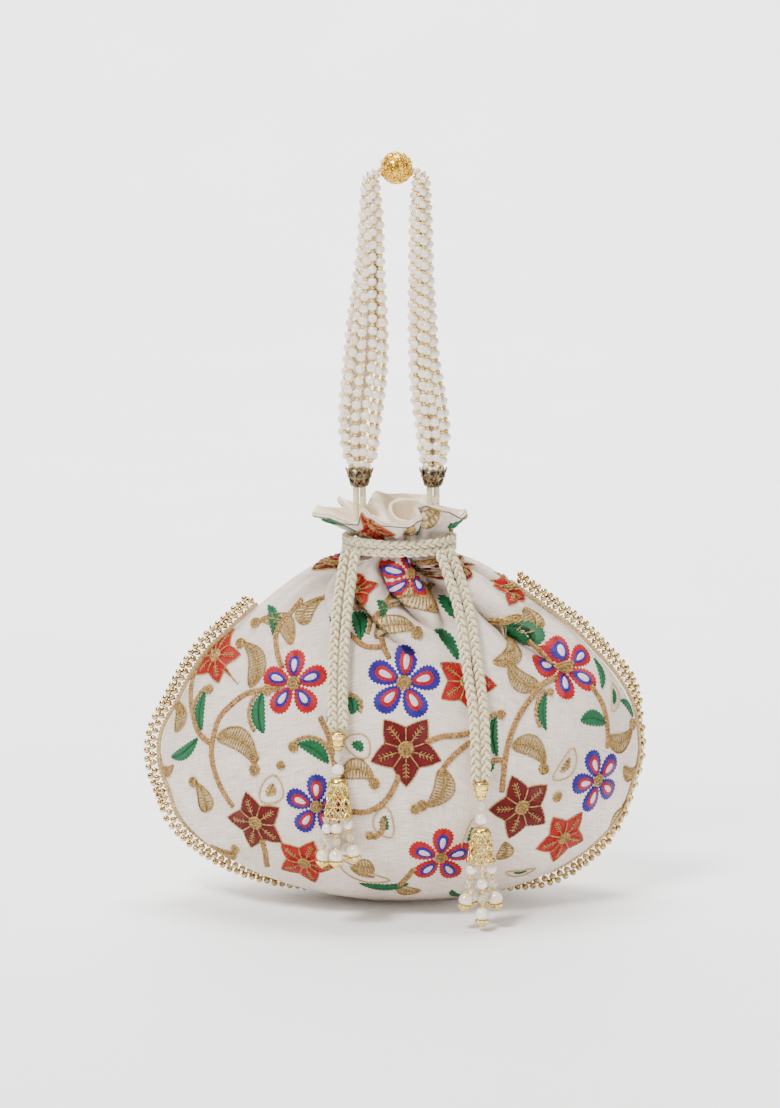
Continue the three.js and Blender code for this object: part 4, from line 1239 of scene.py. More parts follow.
# Flowers: kind, middle, radius, and where the first petal points, in degrees clockwise from up
FLOWERS = (
    (ROSE, (294, 684), 34, 2), (VIOLET, (404, 683), 37, 5), (ROSE, (564, 667), 34, -14),
    (VIOLET, (317, 806), 32, 0), (ROSE, (440, 857), 33, 8), (VIOLET, (597, 780), 33, -12),
    (ROSE, (409, 574), 27, 20), (ROSE, (356, 556), 20, 30), (MAROON, (406, 750), 37, -36),
    (MAROON, (256, 822), 33, -20), (MAROON, (521, 807), 35, -17), (RED, (216, 656), 31, 32),
    (RED, (304, 862), 31, 25), (RED, (563, 837), 32, 38), (RED, (466, 682), 31, 20),
    (RED, (355, 590), 20, 10), (RED, (503, 588), 22, 0), (MAROON, (459, 566), 18, 0),
    (MAROON, (330, 563), 14, 0),
)
# Leaves: kind, base, tip, width, and the side of the curl (1 left, -1 right, 0 none)
LEAVES = (
    (GREEN, (203, 731), (206, 691), 14, -1), (GREEN, (173, 757), (200, 737), 15, 0),
    (GREEN, (264, 736), (263, 693), 17, -1), (GREEN, (330, 763), (298, 743), 16, 1),
    (GREEN, (277, 636), (268, 606), 13, 0), (GREEN, (334, 642), (330, 616), 13, 0),
    (GREEN, (362, 642), (352, 612), 13, 1), (GREEN, (384, 618), (377, 600), 9, 0),
    (GREEN, (455, 620), (441, 594), 14, 0), (GREEN, (459, 661), (434, 628), 15, 0),
    (GREEN, (353, 716), (349, 696), 13, 1), (GREEN, (328, 725), (331, 708), 10, 0),
    (GREEN, (496, 757), (496, 717), 14, -1), (GREEN, (528, 646), (503, 622), 17, 0),
    (GREEN, (545, 733), (546, 694), 11, -1), (GREEN, (605, 723), (579, 720), 18, 0),
    (GREEN, (599, 690), (593, 658), 10, 0), (GREEN, (632, 717), (619, 699), 10, 0),
    (GREEN, (613, 703), (612, 688), 7, 0), (GREEN, (359, 883), (410, 883), 13, 0),
    (GREEN, (450, 889), (462, 895), 9, 0), (GREEN, (490, 772), (488, 758), 8, 0),
    (GOLD, (258, 687), (246, 645), 17, 1), (GOLD, (220, 735), (257, 765), 19, -1),
    (GOLD, (215, 848), (238, 852), 14, 1), (GOLD, (206, 812), (198, 784), 17, 1),
    (GOLD, (341, 772), (374, 778), 17, -1), (GOLD, (297, 640), (262, 620), 16, 1),
    (GOLD, (305, 625), (322, 597), 14, -1), (GOLD, (443, 768), (428, 806), 18, -1),
    (GOLD, (374, 634), (414, 628), 17, -1), (GOLD, (436, 601), (380, 608), 22, 0),
    (GOLD, (538, 686), (508, 662), 18, -1), (GOLD, (487, 660), (492, 623), 16, 1),
    (GOLD, (513, 744), (545, 762), 18, -1), (GOLD, (607, 741), (630, 730), 17, 1),
    (GOLD, (612, 830), (628, 812), 18, -1), (GOLD, (620, 772), (642, 768), 12, 0),
    (GOLD, (532, 632), (524, 608), 18, 0), (GOLD, (374, 870), (352, 868), 15, 0),
    (GOLD, (398, 886), (420, 890), 14, 0), (GOLD, (181, 732), (178, 705), 14, 1),
    (GOLD, (160, 770), (176, 765), 9, 0), (GOLD, (500, 858), (505, 842), 14, 0),
    (GOLD, (318, 850), (330, 868), 13, 0), (ALMOND, (263, 802), (276, 775), 24, 0),
    (ALMOND, (367, 755), (347, 741), 22, 1), (ALMOND, (385, 806), (390, 838), 20, 1),
    (ALMOND, (610, 712), (612, 684), 12, 1), (ALMOND, (552, 780), (573, 748), 18, 0),
    (ALMOND, (338, 858), (390, 880), 16, 0), (ALMOND, (505, 872), (535, 868), 10, 1),
    (ALMOND, (463, 848), (474, 818), 16, 1),
)
# Vines: places that each runs through
VINES = (
    ((212, 745), (199, 733), (194, 715), (192, 690), (198, 668), (206, 652)),
    ((233, 806), (222, 790), (214, 768), (212, 745), (219, 720), (231, 705), (247, 694), (264, 690),
     (282, 689)),
    ((283, 668), (277, 645), (278, 630), (292, 612), (302, 600)),
    ((320, 718), (328, 735), (332, 750), (336, 770)),
    ((350, 812), (368, 811), (384, 803), (394, 788), (399, 775)),
    ((426, 742), (442, 736), (458, 735), (471, 733)),
    ((470, 742), (458, 752), (447, 764), (440, 775)),
    ((502, 792), (503, 770), (507, 748), (514, 725), (526, 705), (541, 686), (556, 677)),
    ((590, 686), (601, 702), (606, 722), (607, 748)),
    ((389, 658), (383, 645), (380, 628), (379, 612)),
    ((262, 838), (266, 855), (268, 866)),
    ((400, 884), (407, 877), (415, 868)),
    ((437, 560), (430, 585), (428, 610)),
    ((350, 634), (365, 646), (382, 647)),
    ((384, 818), (382, 830), (374, 838)),
    ((528, 640), (545, 655), (552, 663)),
    ((490, 762), (500, 760), (505, 764)),
)
# Dots: place and radius
DOTS = (((281, 765), 5), ((415, 810), 6), ((557, 797), 6), ((370, 836), 5), ((254, 757), 6))
# On the frill, whose cloth turns away, places are the cloth's own angle and row, and sizes are millimetres
FRILL_FLOWER = (RED, (248, 20.6), (254, 21.4), 11.5)
FRILL_LEAVES = (
    (GREEN, (216, 19.9), (194, 21.5), 6.5, 0), (GREEN, (338, 20.4), (350, 21.7), 5.5, 1),
    (GREEN, (297, 19.7), (303, 20.7), 4.5, 0), (GOLD, (312, 20.4), (325, 21.8), 5.0, 1),
    (GOLD, (283, 19.9), (287, 21.1), 4.6, 1),
)


@dataclass
class PhotoView:
    """The photograph's camera, which tells where on the cloth a pixel looks."""

    cloth: PouchCloth
    camera: tuple[float, float, float] = (-3.7, -1966.5, 526.5)  # millimetres
    tilt: float = 10.5  # degrees below level
    middle: tuple[float, float] = (390, 554)  # the pixel straight ahead
    distance: float = 2000.0  # at which a pixel shows PIXEL
    slack: float = 1.6  # pixels
    depth: float = 3.0  # millimetres behind the foremost layer that still count as that layer

    @cached_property
    def net(self) -> tuple[Array, Array, Array]:
        """Angles and rows all over the front, the pixel at which each is seen, and its distance."""
        angle, row = np.meshgrid(np.linspace(181, 359, 600), np.linspace(0.3, self.cloth.edge_row, 500))
        ray = self.cloth.point(angle, row) - np.array(self.camera)
        tilt = np.radians(self.tilt)
        ahead = ray @ [0, np.cos(tilt), -np.sin(tilt)]
        over = ray @ [0, np.sin(tilt), np.cos(tilt)]
        focal = self.distance / PIXEL
        across, down = focal * ray[..., 0] / ahead, -focal * over / ahead
        seen = np.stack([self.middle[0] + across, self.middle[1] + down], -1)
        return np.stack([angle, row], -1), seen, ahead

    def find(self, pixel: tuple[float, float]) -> tuple[float, float]:
        """Find the cloth at a pixel, in its foremost layer there.

        Args:
            pixel: across from the photograph's left and down from its top.

        Returns:
            The angle and row.
        """
        places, seen, ahead = self.net
        miss = np.linalg.norm(seen - np.array(pixel), axis=-1)
        near = miss < max(self.slack, miss.min() + 0.1)
        front = near & (ahead < ahead[near].min() + self.depth)
        angle, row = places.reshape(-1, 2)[np.argmin(np.where(front, miss, np.inf))]
        return float(angle), float(row)


@dataclass
class Embroidery:
    """Flowers, leaves and vines stitched on one panel. The back panel has the front's pattern, mirrored."""

    cloth: PouchCloth
    finishes: Finishes
    view: PhotoView
    side: Side
    tooth: float = 1.9  # mm between the scallops of a stitched edge
    tooth_depth: float = 0.75
    vine_radius: float = 1.3
    threads: dict[str, list[Surface]] = field(default_factory=dict)

    def mirrored(self, place: tuple) -> tuple:
        """The same place on this panel: the back's angle is the front's, taken from a full turn."""
        return place if self.side is Side.FRONT else (360 - place[0], place[1])

    def stitch(self, thread: str, surface: Surface) -> None:
        """Keep a surface under its thread's name."""
        self.threads.setdefault(thread, []).append(surface)

    def patch(
        self,
        thread: str,
        hoop: Hoop,
        outline: Array,
        spine: Array,
        base: float,
        rise: float,
        scalloped: bool = True,
        groove: float = 0.0,
    ) -> None:
        """Stitch a patch: rings from the spine out to the outline, domed as a flat ellipse.

        Args:
            thread: its thread's name.
            hoop: the cloth under it.
            outline: its edge in millimetres, (n, 2), anticlockwise.
            spine: the place of the spine nearest to each outline point, (n, 2).
            base: height of its edge above the cloth.
            rise: height of its middle above its edge.
            scalloped: whether the stitches end in scallops.
            groove: how far the spine is sunk in the dome.
        """
        outline = np.concatenate([outline, outline[:1]])
        spine = np.concatenate([spine, spine[:1]])
        around = arc_lengths(outline)
        scallops = max(6, round(around[-1] / self.tooth))
        places = np.linspace(0, around[-1], scallops * 4, endpoint=False)
        outline = np.stack([np.interp(places, around, outline[:, k]) for k in range(2)], -1)
        spine = np.stack([np.interp(places, around, spine[:, k]) for k in range(2)], -1)
        if scalloped:
            notch = self.tooth_depth * np.tile([1.0, 0.3, 0.0, 0.3], scallops)[:, None]
            outline = outline - unit(outline - spine) * notch
        shares = np.array([0.06, 0.4, 0.72, 0.93, 1.0, 1.0])
        heights = base + rise * np.sqrt(1 - shares**2)
        heights[0] -= groove
        heights[-1] = -0.3
        flat = (spine[None] + (outline - spine)[None] * shares[:, None, None]).reshape(-1, 2)
        points, _ = hoop.lay(flat, np.repeat(heights, len(outline)))
        points = points.reshape(len(heights), -1, 3)
        u = np.broadcast_to(places, points.shape[:2])
        v = np.broadcast_to((np.arange(6) * 0.8)[:, None], points.shape[:2])
        self.stitch(thread, closed_rings(points, np.stack([u, v], -1)).turned_over())

    def cord(
        self, thread: str, hoop: Hoop, line: Array, radius: float, lift: float, ring: bool = False
    ) -> None:
        """Couch a twisted cord along a line of the flat pattern."""
        points, normals = hoop.lay(smooth_path(line, 0.75, ring), lift)
        self.stitch(thread, twisted(points, normals, radius, 5 * radius, 2, ring))

    def straight(self, thread: str, hoop: Hoop, start: Array, end: Array, radius: float, lift: float) -> None:
        """Lay one straight stitch: a thread from start to end that dips into the cloth at both.

        Args:
            thread: its thread's name.
            hoop: the cloth under it.
            start: where it comes out of the cloth, in flat millimetres.
            end: where it goes back in.
            radius: of the thread.
            lift: of its middle above the cloth.
        """
        path = start + (end - start) * np.linspace(0, 1, 7)[:, None]
        points, normals = hoop.lay(path, lift - 0.5 * np.array([1, 0.3, 0, 0, 0, 0.3, 1]))
        self.stitch(thread, tube(points, radius, 5, normals))

    @staticmethod
    def turned_flat(points: Array, turn: float) -> Array:
        """Flat points turned clockwise by an angle in radians."""
        c, s = np.cos(turn), np.sin(turn)
        return points @ np.array([[c, -s], [s, c]])

    @staticmethod
    def circle(radius: float) -> Array:
        """A flat circle of 36 points."""
        t = np.linspace(0, FULL_TURN, 36, endpoint=False)
        return radius * np.stack([np.cos(t), np.sin(t)], -1)

    def knot(self, hoop: Hoop, radius: float, lift: float, centre: tuple = (0.0, 0.0)) -> None:
        """Stitch a round gold knot with a cord coiled on it in a spiral.

        Args:
            hoop: the cloth under it.
            radius: of the knot.
            lift: of its edge above the cloth.
            centre: of the knot, in flat millimetres.
        """
        rim = self.circle(radius) + centre
        self.patch("gold", hoop, rim, 0.02 * (rim - centre) + centre, lift, 0.9)
        spiral = np.linspace(0, 2.2 * FULL_TURN, 40)
        arm = radius * 0.8 * (1 - spiral / spiral[-1]) + 0.3
        line = smooth_path(arm[:, None] * np.stack([np.cos(spiral), np.sin(spiral)], -1), 0.8)
        height = lift + 0.35 + 0.55 * np.sqrt(np.clip(1 - np.sum(line**2, -1) / radius**2, 0, 1))
        points, normals = hoop.lay(line + centre, height)
        self.stitch("gold", tube(points, 0.42, 5, normals))

    def rose(self, hoop: Hoop, radius: float, outer: str, inner: str) -> None:
        """Stitch five egg-shaped petals, each of three nested patches, round a knot.

        Args:
            hoop: the cloth under it.
            radius: of the flower.
            outer: the thread of a petal's rim.
            inner: the thread inside that, round silver.
        """
        t = np.linspace(0, FULL_TURN, 60, endpoint=False)
        for k in range(5):
            turn = k * FULL_TURN / 5
            for thread, length, width, middle, base, rise, scalloped in (
                (outer, 0.46, 0.33, 0.57, 0.1, 0.75, True),
                (inner, 0.33, 0.2, 0.53, 0.5, 0.6, True),
                ("silver", 0.19, 0.085, 0.53, 0.95, 0.5, False),
            ):
                ahead = middle + length * np.cos(t)
                across = width * np.sin(t) * (1 + 0.3 * np.cos(t))
                along = middle + 0.6 * length * np.cos(t)
                outline = self.turned_flat(radius * np.stack([-across, ahead], -1), turn)
                spine = self.turned_flat(radius * np.stack([0 * t, along], -1), turn)
                self.patch(thread, hoop, outline, spine, base, rise, scalloped)
        self.knot(hoop, 0.22 * radius, 0.4)

    def star(self, hoop: Hoop, radius: float, thread: str) -> None:
        """Stitch a five-pointed flower: one patch with a corded edge, veins with barbs, and a knot.

        Args:
            hoop: the cloth under it.
            radius: from the middle to a point.
            thread: its thread's name.
        """
        corner = np.arange(10) * FULL_TURN / 10
        reach = np.where(np.arange(10) % 2, 0.61, 1.0) * radius
        corners = np.stack([-reach * np.sin(corner), reach * np.cos(corner)], -1)
        share = np.linspace(0, 1, 9, endpoint=False)[None, :, None]
        after = np.roll(corners, -1, 0)
        edge = (corners[:, None] + (after - corners)[:, None] * share).reshape(-1, 2)
        edge = edge * np.tile(1 + 0.05 * np.sin(np.pi * share[0, :, 0]), 10)[:, None]
        self.patch(thread, hoop, edge, edge * 0.04, 0.15, 0.75)
        points, normals = hoop.lay(edge * 0.985, 0.35)
        self.stitch("gold", tube(points, 0.3, 5, normals, True))
        for k in range(5):
            turn = k * FULL_TURN / 5
            vein = self.turned_flat(radius * np.array([[0, 0.2], [0, 0.76]]), turn)
            notch = self.turned_flat(radius * np.array([[0, 0.2], [0, 0.57]]), turn + FULL_TURN / 10)
            self.straight("gold", hoop, *vein, 0.28, 1.0)
            self.straight("gold", hoop, *notch, 0.34, 1.0)
            for along in (0.36, 0.46, 0.56, 0.66):
                for lean in (-0.085, 0.085):
                    barb = self.turned_flat(radius * np.array([[0, along], [lean, along + 0.07]]), turn)
                    self.straight("gold", hoop, *barb, 0.2, 1.02)
        self.knot(hoop, 0.25 * radius, 0.5)

    def flower(self, kind: Motif, centre: tuple, ahead: tuple, radius: float) -> None:
        """Stitch a flower.

        Args:
            kind: a rose or a star, by colour.
            centre: its angle and row on the front.
            ahead: a place towards which its first petal points.
            radius: in millimetres.
        """
        hoop = Hoop(self.cloth, self.mirrored(centre), self.mirrored(ahead), 1.08 * radius)
        if kind in (ROSE, VIOLET):
            threads = ("red", "violet") if kind is ROSE else ("violet", "red")
            self.rose(hoop, radius, *threads)
        else:
            self.star(hoop, radius, "maroon" if kind is MAROON else "red")

    def leaf(self, kind: Motif, base: tuple, tip: tuple, width: float, curl: int) -> None:
        """Stitch a leaf, whose outline is a bowed ellipse, pointed or egg-shaped.

        Args:
            kind: green leaf, gold leaf or almond.
            base: angle and row of its base on the front.
            tip: angle and row of its tip.
            width: in millimetres.
            curl: side of its curl, 1 left, -1 right and 0 none. An almond with one is green inside.
        """
        base, tip = self.mirrored(base), self.mirrored(tip)
        curl = curl if self.side is Side.FRONT else -curl
        calm = self.cloth.unfolded
        length = max(float(np.linalg.norm(calm.point(*tip) - calm.point(*base))), 1.3 * width)
        middle = (0.5 * (base[0] + tip[0]), 0.5 * (base[1] + tip[1]))
        hoop = Hoop(self.cloth, middle, tip, 0.75 * length + 0.8 * width, 13)
        t = np.linspace(0, FULL_TURN, 56, endpoint=False)
        ahead = 0.5 * length * np.cos(t)
        sine = np.sin(t)
        if kind is GOLD:
            across = 0.56 * width * sine * (1 - 0.3 * np.cos(t))
        else:
            across = 0.5 * width * np.sign(sine) * np.abs(sine) ** 1.3
        bow = (0.2 if kind is GOLD else 0.13) * length * (curl or 1)
        outline = np.stack([-across + bow * (1 - np.cos(t) ** 2), ahead], -1)
        spine = np.stack([bow * (1 - (0.85 * np.cos(t)) ** 2), 0.85 * ahead], -1)
        if kind is ALMOND:
            self.cord("pale", hoop, outline, 0.5, 0.35, True)
            centre = np.array([0.6 * bow, 0.0])
            inner = (outline - centre) * 0.52 + centre
            self.patch("green" if curl else "gold", hoop, inner, (spine - centre) * 0.4 + centre, 0.1, 0.55)
            return
        if kind is GREEN:
            self.patch("green", hoop, outline, spine, 0.1, 0.75, groove=0.3)
        else:
            self.hatched(hoop, outline, spine, length)
        if curl:
            self.curl(hoop, bow, length, width, curl, kind)

    def hatched(self, hoop: Hoop, outline: Array, spine: Array, length: float) -> None:
        """Stitch a gold leaf: a pale ground, a thread to and fro across it, a rib and a corded outline.

        Args:
            hoop: the cloth under it.
            outline: its edge in flat millimetres, (n, 2).
            spine: the spine's place nearest to each outline point.
            length: from base to tip.
        """
        self.patch("zari", hoop, outline, spine, 0.02, 0.3)
        half = len(outline) // 2
        turns = max(6, int(length))
        one, two = outline[2 : half - 1], outline[: half + 1 : -1][1:-1]
        share = np.linspace(0, 1, turns)
        at = np.linspace(0, 1, len(one))
        left = np.stack([np.interp(share, at, one[:, k]) for k in range(2)], -1)
        at = np.linspace(0, 1, len(two))
        right = np.stack([np.interp(share, at, two[:, k]) for k in range(2)], -1)
        corners = np.stack([left, right], 1).reshape(-1, 2)
        steps = np.linspace(0, 1, 4, endpoint=False)[None, :, None]
        line = (corners[:-1, None] + (corners[1:] - corners[:-1])[:, None] * steps).reshape(-1, 2)
        points, normals = hoop.lay(line, 0.42)
        self.stitch("gold", tube(points, 0.24, 4, normals))
        rib = spine[: half + 1]
        points, normals = hoop.lay(smooth_path(rib, 1.0), 0.55)
        self.stitch("gold", tube(points, 0.34, 5, normals))
        self.cord("gold", hoop, outline, 0.5, 0.3, True)

    def curl(self, hoop: Hoop, bow: float, length: float, width: float, curl: int, kind: Motif) -> None:
        """Stitch a round coil off a leaf's tip and, on a green leaf, a gold crescent down one side.

        Args:
            hoop: the cloth under it.
            bow: how far the leaf's middle line bows.
            length: of the leaf.
            width: of the leaf.
            curl: its side, 1 left and -1 right.
            kind: the leaf's kind.
        """
        radius = min(0.28 * width + 0.6, 0.16 * length + 0.8)
        tip = np.array([0.0, 0.5 * length])
        centre = tip + np.array([-curl * 0.9 * radius, 0.2 * radius])
        if kind is GREEN:
            along = np.linspace(-0.4, 0.48, 9) * length
            half = 0.5 * width * np.sqrt(np.clip(1 - (along / (0.55 * length)) ** 2, 0, 1))
            side = bow * (1 - (along / (0.5 * length)) ** 2) + curl * (half + 0.8)
            crescent = np.concatenate([np.stack([side, along], -1), [tip + (0, 0.6 * radius)]])
            self.cord("gold", hoop, crescent, 1.05, 0.35)
        self.knot(hoop, radius, 0.2, tuple(centre))

    def vine(self, places: list[tuple[float, float]]) -> None:
        """Couch a copper-gold rope through places on the cloth.

        Args:
            places: the angles and rows that it runs through, on the front.
        """
        stretch = np.array([1, 8])
        line = smooth_path(np.array([self.mirrored(place) for place in places]) * stretch, 0.6) / stretch
        path = smooth_path(self.cloth.layer(line[:, 0], line[:, 1], 0.25), 0.6)
        share = np.linspace(0, 1, len(path))
        at = np.linspace(0, 1, len(line))
        normals = self.cloth.normal(np.interp(share, at, line[:, 0]), np.interp(share, at, line[:, 1]))
        across = np.cross(headings(path), normals)
        self.stitch("vine", plait(path, across, 0.62 * self.vine_radius, 0.3, 5.0, 0.52 * self.vine_radius))

    def build(self) -> list[Piece]:
        """Stitch every motif and make one piece for each thread.

        Returns:
            The pieces.
        """
        find = self.view.find
        for kind, (x, y), radius, turn in FLOWERS:
            reach, turn = 0.5 * radius, np.radians(turn)
            ahead = (x + reach * np.sin(turn), y - reach * np.cos(turn))
            self.flower(kind, find((x, y)), find(ahead), PIXEL * radius)
        self.flower(*FRILL_FLOWER)
        for kind, base, tip, width, curl in LEAVES:
            self.leaf(kind, find(base), find(tip), PIXEL * width, curl)
        for leaf in FRILL_LEAVES:
            self.leaf(*leaf)
        for places in VINES:
            self.vine([find(place) for place in places])
        for place, radius in DOTS:
            centre = self.mirrored(find(place))
            hoop = Hoop(self.cloth, centre, (centre[0], centre[1] + 0.2), 1.3 * PIXEL * radius, 5)
            self.knot(hoop, PIXEL * radius, 0.1)
        f = self.finishes
        finish = {
            "red": f.red, "maroon": f.maroon, "violet": f.purple, "silver": f.silver, "green": f.green,
            "gold": f.gold, "zari": f.zari, "pale": f.braid, "vine": f.copper,
        }
        pieces = []
        for thread, surfaces in self.threads.items():
            name = f"{self.side.name.lower()}_{thread}_stitches"
            pieces.append(make_piece(name, joined(surfaces), finish[thread]))
        return pieces


# Drawstrings and tassels

TAIL_ROUTES = {
    "left_tail_outer": (
        (-23.8, -14.6, 166.5), (-24.8, -17.4, 161.5), (-25.6, -19.8, 156.0), (-26.6, -22.4, 150.0),
        (-27.6, -25.4, 143.0), (-28.4, -28.6, 136.0), (-28.9, -32.6, 128.0), (-29.3, -37.0, 119.6),
        (-29.6, -41.0, 111.0), (-29.7, -44.6, 102.7), (-29.6, -48.1, 96.8), (-29.5, -50.6, 91.2),
    ),
    "left_tail_inner": (
        (-19.3, -18.2, 166.5), (-20.2, -20.6, 161.5), (-21.0, -22.6, 156.0), (-21.9, -24.8, 150.0),
        (-22.8, -27.4, 143.0), (-23.6, -30.2, 136.0), (-24.2, -33.8, 128.0), (-24.6, -38.0, 119.6),
        (-24.9, -41.8, 111.0), (-25.0, -45.0, 102.7), (-24.9, -48.2, 96.8), (-24.8, -50.6, 91.2),
    ),
    "right_tail_inner": (
        (18.8, -18.6, 166.5), (20.8, -20.8, 161.5), (22.8, -22.6, 156.0), (25.0, -24.8, 149.5),
        (27.1, -27.2, 142.4), (28.6, -30.2, 135.2), (29.9, -34.0, 127.0), (30.9, -37.8, 119.0),
        (32.1, -41.2, 110.6), (33.4, -44.4, 102.2), (34.3, -47.2, 93.6), (34.7, -49.6, 85.0),
        (35.0, -51.4, 76.6), (35.1, -52.4, 67.3),
    ),
    "right_tail_outer": (
        (23.3, -14.9, 167.0), (25.9, -16.2, 161.0), (28.2, -18.0, 155.0), (30.4, -20.8, 148.8),
        (32.2, -24.4, 142.0), (33.6, -28.0, 135.0), (34.9, -32.2, 127.0), (36.0, -36.2, 119.0),
        (37.2, -39.8, 110.6), (38.2, -43.2, 102.2), (39.0, -46.2, 93.6), (39.4, -48.8, 85.0),
        (39.7, -50.8, 76.6), (39.8, -52.0, 67.3),
    ),
}


@dataclass
class Drawstrings:
    """Two plaited cords: a loop of each round the neck, and the four free ends."""

    cloth: PouchCloth
    finishes: Finishes
    diameter: float = 4.4
    waist_diameter: float = 3.6
    waist_pitch: float = 1.95  # from the waist to the middle of a loop
    fit: float = 0.6
    period: float = 11.5

    def build_loops(self) -> None:
        """Plait each loop along an ellipse round the neck."""
        left, right, _, depth = (self.cloth.sections[-1, k] for k in range(4))
        radius = self.waist_diameter / 2
        across = (left + right) / 2 * self.cloth.half_width + radius + self.fit
        deep = depth * self.cloth.half_depth + radius + self.fit
        centre = (right - left) / 2 * self.cloth.half_width
        turn = np.linspace(0, FULL_TURN, 160, endpoint=False)
        for side, height in (("right", self.waist_pitch), ("left", -self.waist_pitch)):
            level = np.full_like(turn, self.cloth.waist_height + height)
            path = np.stack([centre + across * np.cos(turn), deep * np.sin(turn), level], -1)
            path = smooth_path(path, 0.6, True)
            loop = plait(path, np.array([0, 0, 1.0]), 1.15, 0.75, self.period, 0.86, True)
            piece = make_piece(f"{side}_waist_plait", loop, self.finishes.yarn)
            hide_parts(f"{side}_drawstring_loop")
            glint = plait(path, np.array([0, 0, 1.0]), 1.2, 0.45, self.period, 0.32, True, 1 / 6)
            make_piece(f"{side}_waist_filament", glint, self.finishes.gold)

    def build_tails(self) -> dict[str, tuple[Piece, Array]]:
        """Plait each free end along its route.

        Returns:
            Each free end's piece and middle line, by the node that it replaces.
        """
        tails = {}
        for node, route in TAIL_ROUTES.items():
            path = smooth_path(np.array(route), 0.5)
            start = 0.5 if node.endswith("inner") else 0.0
            surface = plait(path, np.array([1.0, 0, 0]), 1.5, 0.9, self.period, 0.92, start=start)
            piece = make_piece(node.replace("tail", "free_end"), surface, self.finishes.yarn)
            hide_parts(node)
            glint = plait(path, np.array([1.0, 0, 0]), 1.6, 0.45, self.period, 0.36, start=start + 1 / 6)
            make_piece(node.replace("tail", "filament"), glint, self.finishes.gold)
            tails[node] = (piece, path)
        return tails

    def declare(self, tails: dict[str, tuple[Piece, Array]], tassels: dict[str, list[Piece]]) -> None:
        """Work out each free end's length in metres and the tassel pieces it would carry, all of them for the first
        end on each side and the top one for the other, and keep neither.

        Args:
            tails: each free end's piece and middle line, by node.
            tassels: each side's pieces, from above to below.
        """
        carried = set()
        for node, (piece, path) in tails.items():
            side = node.split("_")[0]
            fittings = tassels[side][:1] if side in carried else tassels[side]
            places = (path + CARRY_SHIFT) * MILLIMETRE
            float(arc_lengths(places)[-1])
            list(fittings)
            carried.add(side)


